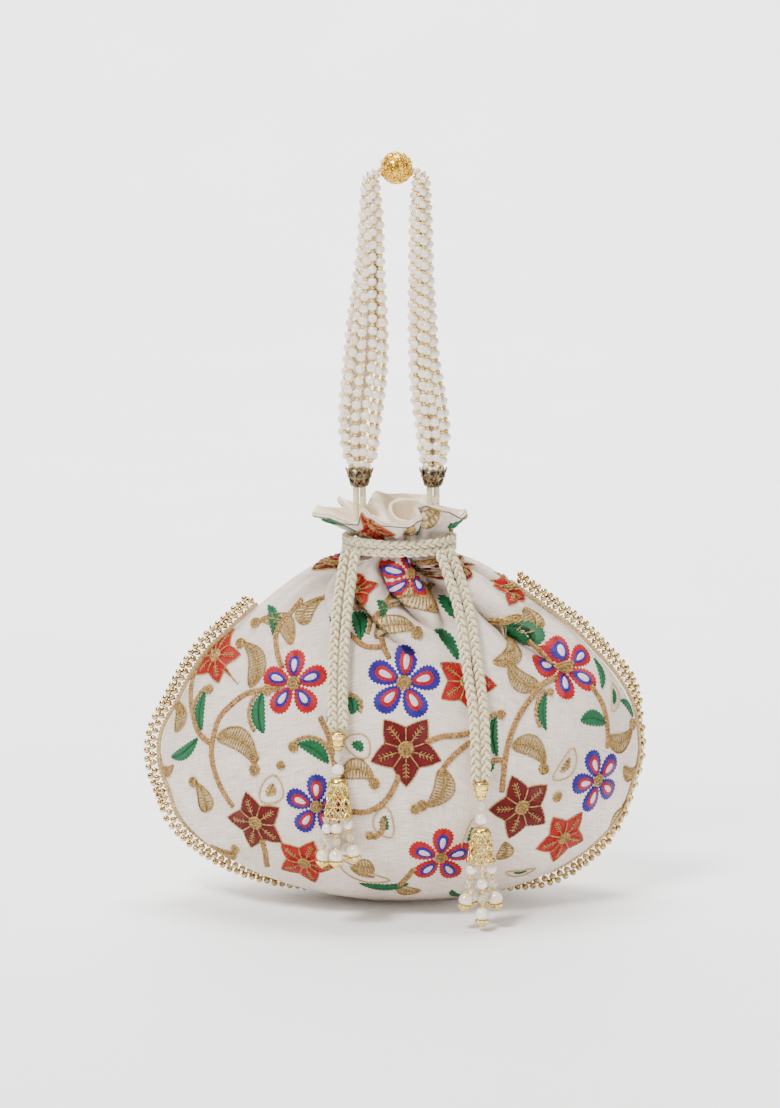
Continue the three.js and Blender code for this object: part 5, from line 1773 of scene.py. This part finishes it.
@dataclass
class Tassel:
    """An end cap, a clear bead, a pearl, a pierced bell and five strung drops."""

    side: str
    across: float
    cap_top: float
    cap_out: float
    bell_out: float
    bell_height: float
    pitch: float
    drops: tuple  # angle, lean and how much lower, of each
    finishes: Finishes
    cap_radius: float = 3.4
    cap_height: float = 8.4
    clear_radius: float = 1.8
    clear_height: float = 5.2
    spacer_radius: float = 2.8
    bell_radius: float = 6.2
    bell_top: float = 2.4
    bell_wall: float = 0.8
    pearl_radius: float = 2.5
    crystal_radius: float = 2.2
    drop_radius: float = 3.2
    flower_radius: float = 3.0
    engagement: float = 2.4
    fit: float = 0.3

    def at(self, share: float, height: float) -> Array:
        """A place on the tassel's line, with its distance to the front between the cap's and the bell's."""
        return np.array([self.across, self.cap_out + (self.bell_out - self.cap_out) * share, height])

    def build(self) -> list[Piece]:
        """Make the tassel's pieces from above to below.

        Returns:
            The pieces.
        """
        foot = self.cap_top - self.cap_height
        clear = foot - self.fit - self.clear_height / 2
        spacer = clear - self.clear_height / 2 - self.fit - self.spacer_radius
        mouth = spacer - self.spacer_radius - self.fit - self.bell_height
        cap = self.end_cap(foot)
        half = self.clear_height / 2
        size = (self.clear_radius, self.clear_radius, half)
        glass = self.single("clear_bead_glass", self.at(0.25, clear), size, self.finishes.glass)
        size = (self.spacer_radius,) * 3
        pearl = self.single("spacer_pearl_glaze", self.at(0.6, spacer), size, self.finishes.pearl)
        return [cap, glass, pearl, self.bell(mouth), *self.strung(mouth)]

    def single(self, name: str, place: Array, size: tuple, material: bpy.types.Material) -> Piece:
        """Make one bead in place of its node.

        Args:
            name: of the piece, which is the node's name and a word for the finish.
            place: its middle.
            size: half of it along each axis.
            material: its finish.

        Returns:
            The bead.
        """
        bead = stamped(ball(8), place[None], np.array([size]))
        piece = make_piece(f"{self.side}_{name}", bead, material)
        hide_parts(f"{self.side}_{name.rsplit('_', 1)[0]}")
        return piece

    def end_cap(self, foot: float) -> Piece:
        """Turn the cap and ring it with three ropes of beading.

        Args:
            foot: height of its foot.

        Returns:
            The cap.
        """
        r, h = self.cap_radius, self.cap_height
        profile = [
            (0.5, 0), (self.clear_radius, 0), (0.6 * r, 0.12 * h), (0.68 * r, 0.3 * h), (0.86 * r, 0.5 * h),
            (0.95 * r, 0.7 * h), (r, 0.86 * h), (0.9 * r, 0.97 * h), (0.7 * r, h), (0.3, 0.98 * h),
        ]
        place = self.at(0, foot)
        surfaces = [stamped(turned(np.array(profile), 32), place[None], np.ones(1))]
        t = np.linspace(0, FULL_TURN, 48, endpoint=False)
        for share, height in ((0.98, 0.86), (0.9, 0.56), (0.66, 0.2)):
            ring = np.stack([share * r * np.cos(t), share * r * np.sin(t), np.full_like(t, height * h)], -1)
            surfaces.append(twisted(place + ring, np.array([0, 0, 1.0]), 0.42, 1.2, 2, True))
        name = f"{self.side}_end_cap_gold"
        piece = make_piece(name, joined(surfaces), self.finishes.light_gold)
        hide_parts(f"{self.side}_end_cap")
        return piece

    def bell(self, mouth: float) -> Piece:
        """Build the pierced bell of wire scrolls between a collar, a waist ring and a petalled rim.

        A scroll runs down the bell while its turn swings as a sine, and meets its mirror image again and again.

        Args:
            mouth: height of its mouth.

        Returns:
            The bell.
        """
        h, r0, r1 = self.bell_height, self.bell_top, self.bell_radius
        lifts = np.array([1, 0.9, 0.62, 0.3, 0.0])
        radii = r0 + (r1 - r0) * np.array([0.3, 0.42, 0.56, 0.82, 1])
        place = self.at(1, mouth)
        surfaces = []
        dome = [
            (0.5, 0.98 * h), (r0 + 0.9, 0.97 * h), (r0 + 1.6, 0.9 * h), (r0 + 1.75, 0.84 * h),
            (r0 + 1.2, 0.83 * h), (0.5, 0.86 * h),
        ]
        surfaces.append(stamped(turned(np.array(dome)[::-1], 32), place[None], np.ones(1)))
        t = np.linspace(0, 1, 60)
        for k in range(8):
            for way in (-1, 1):
                height = h * (0.86 - 0.86 * t)
                radius = np.interp(height / h, lifts[::-1], radii[::-1])
                turn = FULL_TURN * k / 8 + way * (0.5 * np.sin(2.5 * np.pi * t) * FULL_TURN / 9)
                path = np.stack([radius * np.cos(turn), radius * np.sin(turn), height], -1)
                surfaces.append(tube(place + path, 0.42, 5, np.array([0, 0, 1.0]) + 0.3 * path / r1))
        t = np.linspace(0, FULL_TURN, 64, endpoint=False)
        for share, thick in ((0.84, 0.55), (0.6, 0.45), (0.32, 0.45), (0.05, 0.6)):
            radius = np.interp(share, lifts[::-1], radii[::-1])
            scallop = 0.4 * np.abs(np.sin(4 * t)) if share < 0.1 else 0 * t
            reach, level = radius + scallop, share * h - 0.8 * scallop
            ring = np.stack([reach * np.cos(t), reach * np.sin(t), level], -1)
            surfaces.append(twisted(place + ring, np.array([0, 0, 1.0]), thick, 1.4, 2, True))
        surfaces.append(self.petals(place, radii[-1]))
        name = f"{self.side}_bell_scrolls"
        piece = make_piece(name, joined(surfaces), self.finishes.light_gold)
        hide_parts(f"{self.side}_bell_cap")
        return piece

    def petals(self, place: Array, radius: float) -> Surface:
        """Set granules between the bell's scrolls and along its rim.

        Args:
            place: the middle of the bell's mouth.
            radius: of its rim.

        Returns:
            The granules.
        """
        spots = []
        for share, count, offset in ((0.02, 16, 0.0), (0.45, 8, 0.5), (0.72, 8, 0.0), (0.18, 8, 0.5)):
            turn = (np.arange(count) + offset) * FULL_TURN / count
            reach = np.interp(share, [0, 0.3, 0.62, 0.9], [1, 0.9, 0.73, 0.6]) * radius
            level = np.full(count, share * self.bell_height)
            spots.append(np.stack([reach * np.cos(turn), reach * np.sin(turn), level], -1))
        return stamped(ball(3), place + np.concatenate(spots), np.full(sum(map(len, spots)), 0.62))

    def strung(self, mouth: float) -> list[Piece]:
        """String the five drops: wire, pearl, clear bead, larger pearl and flower cap.

        Args:
            mouth: height of the bell's mouth.

        Returns:
            The pearls, the clear beads and the gold.
        """
        top = mouth + self.engagement
        angle, lean, lower = np.array(self.drops, float).T
        ring = (self.bell_radius - self.bell_wall) * np.cos(np.pi / 10) - 0.6 - self.fit
        ring = ring - self.engagement * np.tan(np.radians(lean))
        turn, tilt = np.radians(angle), np.radians(lean)
        start = np.stack([ring * np.cos(turn), ring * np.sin(turn), 0 * turn], -1) + self.at(1, top)
        down = np.stack([np.sin(tilt) * np.cos(turn), np.sin(tilt) * np.sin(turn), -np.cos(tilt)], -1)
        pearl = (self.engagement + lower + self.pearl_radius + self.fit)[:, None]
        small = start + down * pearl
        clear = start + down * (pearl + self.pitch)
        large = start + down * (pearl + 2 * self.pitch)
        end = pearl + 2 * self.pitch + 0.8 * self.drop_radius
        ones = np.ones(len(angle))
        upper = stamped(ball(7), small, ones * self.pearl_radius)
        pearls = joined([upper, stamped(ball(7), large, ones * self.drop_radius)])
        facets = stamped(self.cut_bead(), clear, ones * self.crystal_radius, down)
        flower = stamped(self.flower_cap(), start + down * end, ones, down)
        wires = []
        for first, way, last in zip(start, down, end[:, 0]):
            line = first + way * np.linspace(0, last + 2.0, 12)[:, None]
            wires.append(tube(line, 0.35, 6, np.array([1.0, 0.3, 0])))
        tips = stamped(ball(3), start + down * (end + 2.6), ones * 0.75)
        between = np.concatenate([start + down * (pearl + share * self.pitch) for share in (0.5, 1.5)])
        steps = stamped(ball(3), between, np.full(len(between), 0.95))
        f = self.finishes
        gold = joined([flower, *wires, tips, steps])
        pieces = [
            make_piece(f"{self.side}_drop_pearls", pearls, f.pearl),
            make_piece(f"{self.side}_drop_crystals", facets, f.glass),
            make_piece(f"{self.side}_drop_gold", gold, f.light_gold),
        ]
        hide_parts(*(f"{self.side}_drop_{k + 1}" for k in range(len(self.drops))))
        return pieces

    def cut_bead(self) -> Surface:
        """A faceted bead: a turned profile of few sides."""
        profile = [(0.2, -0.95), (0.55, -0.85), (0.98, -0.3), (0.98, 0.3), (0.55, 0.85), (0.2, 0.95)]
        return turned(np.array(profile), 8)

    def flower_cap(self) -> Surface:
        """A scalloped cup about +Z: its radius swells in six petals towards its mouth, which faces back.

        Returns:
            The cup, closed between its outer and its inner face.
        """
        rows = np.linspace(0, 1, 9)[:, None]
        t = np.linspace(0, FULL_TURN, 48, endpoint=False)[None]
        radius = 0.5 + (self.flower_radius - 0.5) * np.cos(0.5 * np.pi * rows) ** 0.7
        radius = radius * (1 + 0.16 * np.abs(np.sin(3 * t)) * (1 - rows))
        level = np.broadcast_to(2.6 * rows, radius.shape)
        outer = np.stack([radius * np.cos(t), radius * np.sin(t), level], -1)
        inner = outer[::-1] * [0.82, 0.82, 1] + [0, 0, -0.35]
        rings = np.concatenate([inner, outer])
        v = np.broadcast_to(np.arange(len(rings))[:, None] * 0.4, rings.shape[:2])
        u = np.broadcast_to(t * 2, rings.shape[:2])
        return closed_rings(rings, np.stack([u, v], -1))


# Place across, top of the end cap, its place to the front and the bell's, the bell's height, the pitch of a
# drop's beads, and each drop's angle, lean and how much lower it hangs
TASSEL_SIZES = {
    "left": (
        -27.2, 89.9, -51.2, -55.9, 18.4, 6.4,
        ((262, 5, 1.2), (334, 13, 0), (46, 6, 0.6), (118, 5, 1.8), (190, 8, 2.2)),
    ),
    "right": (
        37.4, 67.0, -52.4, -56.6, 16.0, 7.0,
        ((276, 4, 6.4), (348, 9, 0.2), (60, 6, 0.8), (132, 5, 0.4), (204, 11, 0.6)),
    ),
}


# Handle

# Place across, height, half-width and half-depth of the bundles of bead strings, from the cap to the ball
BUNDLES = {
    "left": (
        (-17.7, 198.2, 3.7, 3.7), (-17.7, 201.4, 4.7, 4.4), (-17.7, 205, 7.4, 5.2), (-17.9, 210, 9.0, 5.6),
        (-18.1, 220, 10.1, 5.8), (-16.8, 234, 10.7, 6.0), (-14.6, 252, 10.6, 6.2), (-13.5, 272, 9.6, 6.4),
        (-12.9, 294, 7.5, 6.6), (-12.5, 316, 6.1, 6.4), (-12.6, 329, 4.9, 5.6), (-12.0, 336, 3.9, 4.4),
        (-9.2, 339.2, 2.1, 2.4),
    ),
    "right": (
        (16.1, 198.2, 3.7, 3.7), (16.1, 201.4, 4.7, 4.4), (16.1, 205, 6.6, 5.2), (15.9, 210, 7.8, 5.8),
        (15.4, 220, 8.4, 6.2), (13.6, 234, 8.6, 6.6), (12.0, 252, 7.5, 6.8), (11.4, 272, 6.9, 6.8),
        (10.6, 294, 6.2, 6.8), (10.1, 316, 5.7, 6.4), (10.2, 329, 4.9, 5.6), (10.2, 336, 3.9, 4.4),
        (7.6, 339.2, 2.1, 2.4),
    ),
}

# Where each string runs in its bundle: shares of the half-width and of the half-depth
STRING_SPOTS = (
    (-0.75, -0.55), (-0.27, -0.9), (0.27, -0.9), (0.75, -0.55), (-1, 0.3), (-0.38, 0.1), (0.38, 0.1),
    (1, 0.3), (0, 0.95),
)


@dataclass
class Handle:
    """A filigree ball, two bundles of bead strings, their pierced caps, and the cord tabs below."""

    finishes: Finishes
    foot: float = 193.6
    back: float = 4.0
    ball_centre: tuple[float, float, float] = (-0.8, 0.0, 339.7)
    ball_radius: float = 7.4
    cap_foot: float = 3.6
    cap_radius: float = 6.2
    cap_height: float = 7.6
    tab_length: float = 18.8
    tab_entry: float = 2.4
    tab_radius: float = 1.5
    tab_gap: float = 0.2
    pearl_radius: float = 2.2
    pearl_pitch: float = 5.6
    seed: int = 7

    def strings(self, side: str) -> None:
        """Thread nine strings of pearls and gold seeds through a bundle.

        A string keeps its place in the bundle's ellipse all the way up, and its pearls shrink where the
        bundle is narrow. Every second string starts half a pitch lower at the ball.

        Args:
            side: the bundle's name.
        """
        table = np.array(BUNDLES[side])
        share = np.clip((table[:, 1] - self.foot) / (self.ball_centre[2] - self.foot), 0, 1)
        route = np.column_stack([table[:, 0], self.back * (1 - share), table[:, 1], table[:, 2:]])
        path = smooth_path(route, 0.5)
        rng = np.random.default_rng(self.seed + (side == "right"))
        pearls, seeds, threads = [], [], []
        radius = np.clip(np.sqrt(path[:, 3] * path[:, 4]) * 0.34, 1.5, self.pearl_radius)
        for number, (across, deep) in enumerate(STRING_SPOTS):
            sway = 0.5 * np.sin(path[:, 2] / 17 + rng.uniform(0, 6)) * np.clip((path[:, 3] - 4) / 4, 0, 1)
            line = path[:, :3].copy()
            line[:, 0] += across * np.maximum(path[:, 3] - radius, 0.4) + sway
            line[:, 1] += deep * np.maximum(path[:, 4] - radius, 0.4)
            along = arc_lengths(line)
            pitch = self.pearl_pitch * rng.uniform(0.985, 1.015)
            top = along[-1] - 0.6 - pitch * (0.5 * (number % 2) + rng.uniform(0, 0.16))
            at = np.arange(top, 1.5, -pitch)[::-1]
            pearls.append(self.read(line, radius, along, at))
            seeds.append(self.read(line, radius, along, at[:-1] + pitch / 2))
            threads.append(tube(line[::4], 0.3, 5, np.array([0, 1.0, 0])))
        beads = np.concatenate(pearls)
        small = np.concatenate(seeds)
        surface = stamped(ball(4), beads[:, :3], beads[:, 3])
        pearl_piece = make_piece(f"{side}_pearl_strings", surface, self.finishes.pearl)
        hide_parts(f"handle_strands_{side}")
        squat = np.full((len(small), 3), (1.25, 1.25, 0.95))
        gold = joined([stamped(ball(3), small[:, :3], squat), *threads])
        make_piece(f"{side}_seed_strings", gold, self.finishes.light_gold)

    @staticmethod
    def read(line: Array, radius: Array, along: Array, at: Array) -> Array:
        """Read a string at some places.

        Args:
            line: its middle line.
            radius: of a pearl at each of the line's points.
            along: the distance to each of them.
            at: the distances wanted.

        Returns:
            Places and the pearl's radius there, (n, 4).
        """
        values = np.column_stack([line, radius])
        return np.stack([np.interp(at, along, values[:, k]) for k in range(4)], -1)

    def ball_of_wire(self) -> None:
        """Solder a ball of small wire rings, with a granule in each, round an inner shell.

        The rings are spread over the ball along a spiral by the golden ratio.
        """
        count = 46
        k = np.arange(count) + 0.5
        height = 1 - 2 * k / count
        turn = np.pi * (1 + 5**0.5) * k
        flat = np.sqrt(1 - height**2)
        centres = np.stack([height, flat * np.cos(turn), flat * np.sin(turn)], -1)
        centres = centres[np.abs(centres[:, 0]) < 0.93]
        place = np.array(self.ball_centre)
        t = np.linspace(0, FULL_TURN, 20, endpoint=False)
        ring = np.stack([1.42 * np.cos(t), 1.42 * np.sin(t), 0 * t], -1)
        hoop = tube(ring, 0.33, 6, np.array([0, 0, 1.0]), True)
        wire = stamped(hoop, place + centres * (self.ball_radius - 0.4), np.ones(len(centres)), centres)
        dots = stamped(ball(3), place + centres * (self.ball_radius - 0.25), np.full(len(centres), 0.62))
        t = np.linspace(0.42, np.pi - 0.42, 20)
        inside = self.ball_radius - 1.0
        shell = np.stack([inside * np.sin(t), inside * np.cos(t)], -1)[::-1]
        core = turned(shell, 40)
        core.points = core.points[:, [2, 1, 0]] * [1, -1, 1] + place
        mouths = []
        for way in (-1, 1):
            t = np.linspace(0, FULL_TURN, 40, endpoint=False)
            hoop = np.stack([np.full_like(t, way * 6.7), 3.2 * np.cos(t), 3.2 * np.sin(t)], -1)
            mouths.append(twisted(place + hoop, np.array([1.0, 0, 0]), 0.6, 1.6, 2, True))
        surface = joined([wire, dots, core, *mouths])
        piece = make_piece("filigree_ball", surface, self.finishes.yellow_gold)
        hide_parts("handle_ball")

    def cap(self, side: str) -> None:
        """Build the pierced cone: eight pointed wire petals, a ring at the foot and one half way up.

        Args:
            side: the bundle's name.
        """
        place = np.array([BUNDLES[side][0][0], self.back, self.foot])
        surfaces = []
        t = np.linspace(0, 1, 25)
        for k in range(8):
            for way in (-1, 1):
                width = way * 0.5 * np.sin(np.pi * t) ** 0.8 * FULL_TURN / 8 * 0.95
                radius = self.cap_foot + (self.cap_radius - self.cap_foot) * t**0.8
                turn = FULL_TURN * k / 8 + width
                level = self.cap_height * 1.05 * t
                path = np.stack([radius * np.cos(turn), radius * np.sin(turn), level], -1)
                aside = np.array([0, 0, 1.0]) + 0.3 * path / self.cap_radius
                surfaces.append(tube(place + path, 0.45, 6, aside))
        t = np.linspace(0, FULL_TURN, 64, endpoint=False)
        rings = ((self.cap_foot, 0.4, 0.8), (5.3, 0.55 * self.cap_height, 0.5), (2.4, 0.0, 0.9))
        for radius, height, thick in rings:
            ring = np.stack([radius * np.cos(t), radius * np.sin(t), np.full_like(t, height)], -1)
            surfaces.append(twisted(place + ring, np.array([0, 0, 1.0]), thick, 1.6, 2, True))
        foot = self.cap_foot
        wall = [(foot - 1.2, 0.2), (foot - 0.2, 0.3), (5, 4), (5.6, 7), (5.2, 7), (4.5, 4), (2.2, 0.8)]
        surfaces.append(stamped(turned(np.array(wall), 32), place[None], np.ones(1)))
        piece = make_piece(f"{side}_petal_cap", joined(surfaces), self.finishes.bronze)
        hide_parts(f"handle_cap_{side}")

    def tab(self, side: str) -> None:
        """Twist the doubled cord that ties a cap to the pouch's mouth: two legs under one bend.

        Args:
            side: the bundle's name.
        """
        apart = self.tab_radius + self.tab_gap / 2
        straight = self.tab_length - apart
        foot = self.foot + self.tab_entry - self.tab_length - self.tab_radius
        turn = np.linspace(np.pi, 0, 7)
        bend = np.stack([apart * np.cos(turn), 0 * turn, straight + apart * np.sin(turn)], -1)
        leg = np.array([(-apart, 0, 0), (-apart, 0, 0.5 * straight)])
        points = np.concatenate([leg, bend, (leg * [-1, 1, 1])[::-1]])
        path = smooth_path(points + np.array([BUNDLES[side][0][0], self.back, foot]), 0.5)
        cord = twisted(path, np.array([0, 1.0, 0]), self.tab_radius, 4.0, 3)
        piece = make_piece(f"{side}_cord_tab", cord, self.finishes.yarn)
        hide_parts(f"handle_tab_{side}")

    def build(self) -> None:
        """Make the whole handle."""
        self.ball_of_wire()
        for side in BUNDLES:
            self.strings(side)
            self.cap(side)
            self.tab(side)


# Studio


@dataclass(frozen=True)
class Studio:
    """A pale floor, soft light from all round with a large lamp on the left, and the camera."""

    floor_height: float = -0.3323
    wall_place: float = 2.6  # metres behind the reticule
    sweep: float = 1.2  # radius of the curve between floor and wall
    reach: float = 14.0  # of the floor, to the front and to the sides
    camera_place: tuple[float, float, float] = (-0.0029, -1.9665, 0.1942)
    camera_tilt: float = 79.5  # degrees from straight down
    lens: float = 141.3

    def floor(self) -> None:
        """Lay the floor, which curves up into a backdrop behind."""
        mesh = bpy.data.meshes.new("studio_floor")
        turn = np.linspace(0, np.pi / 2, 24)
        curve = self.wall_place - self.sweep * (1 - np.sin(turn))
        depth = np.concatenate([[-self.reach], curve, [self.wall_place]])
        level = np.concatenate([[0.0], self.sweep * (1 - np.cos(turn)), [5.0]]) + self.floor_height
        sides = [np.stack([np.full_like(depth, x), depth, level], -1) for x in (-self.reach, self.reach)]
        points = np.stack(sides, 1).reshape(-1, 3)
        mesh.from_pydata(points.tolist(), [], grid_quads(len(depth), 2).tolist())
        mesh.polygons.foreach_set("use_smooth", np.ones(len(mesh.polygons), bool))
        bench = Bench("pale_floor")
        patches = bench.noise(bench.place(False, (0.01, 0.01, 0.01)), 1.0)
        tone = bench.mixed(paint(250, 249, 248), paint(253, 253, 252), patches)
        mesh.materials.append(bench.finish(tone, None, 0, {"Roughness": 0.6, "Specular IOR Level": 0.2}))
        floor = bpy.data.objects.new("studio_floor", mesh)
        bpy.context.scene.collection.objects.link(floor)

    def lamp(self, name: str, place: tuple, size: float, power: float, at: tuple = (0.0, 0.0, -0.2)) -> None:
        """Hang a square lamp.

        Args:
            name: of the lamp.
            place: where it hangs, in metres.
            size: of its side.
            power: in watts.
            at: the place that it looks at.
        """
        light = bpy.data.lights.new(name, "AREA")
        light.size = size
        light.energy = power
        lamp = bpy.data.objects.new(name, light)
        way = np.array(at) - np.array(place)
        lamp.location = place
        lamp.rotation_euler = (np.arctan2(np.hypot(way[0], way[1]), -way[2]), 0, np.arctan2(-way[0], way[1]))
        bpy.context.scene.collection.objects.link(lamp)

    def build(self) -> None:
        """Make the floor, the light and the camera."""
        scene = bpy.context.scene
        self.floor()
        world = bpy.data.worlds.new("studio_light")
        world.use_nodes = True
        world.node_tree.nodes["Background"].inputs["Color"].default_value = (1.0, 0.995, 0.985, 1)
        world.node_tree.nodes["Background"].inputs["Strength"].default_value = 0.36
        scene.world = world
        self.lamp("key_lamp", (-0.9, -1.1, 1.9), 0.6, 84)
        self.lamp("fill_lamp", (1.6, -1.6, 0.5), 1.4, 18)
        self.lamp("backdrop_lamp", (0.0, 0.9, 2.4), 1.6, 200, (0.0, 2.6, 0.2))
        data = bpy.data.cameras.new("camera")
        data.lens = self.lens
        camera = bpy.data.objects.new("camera", data)
        camera.location = self.camera_place
        camera.rotation_euler = (np.radians(self.camera_tilt), 0, 0)
        scene.collection.objects.link(camera)
        scene.camera = camera


def main() -> None:
    """Build the studio, then the reticule from the pouch up."""
    logging.basicConfig(level=logging.INFO, format="%(name)s %(message)s")
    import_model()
    Studio().build()
    finishes = Finishes()
    cloth = PouchCloth()
    drawstrings = Drawstrings(cloth, finishes)
    tails = drawstrings.build_tails()
    tassels = {side: Tassel(side, *sizes, finishes).build() for side, sizes in TASSEL_SIZES.items()}
    drawstrings.declare(tails, tassels)
    drawstrings.build_loops()
    pouch = Pouch(cloth, finishes)
    pouch.build_panel(Side.FRONT, "front_panel")
    pouch.build_panel(Side.BACK, "back_panel")
    pouch.build_lining()
    pouch.build_roll()
    pouch.build_edging()
    pouch.build_trim()
    view = PhotoView(cloth)
    for side in Side:
        Embroidery(cloth, finishes, view, side).build()
    Handle(finishes).build()


if __name__ == "__main__":
    main()
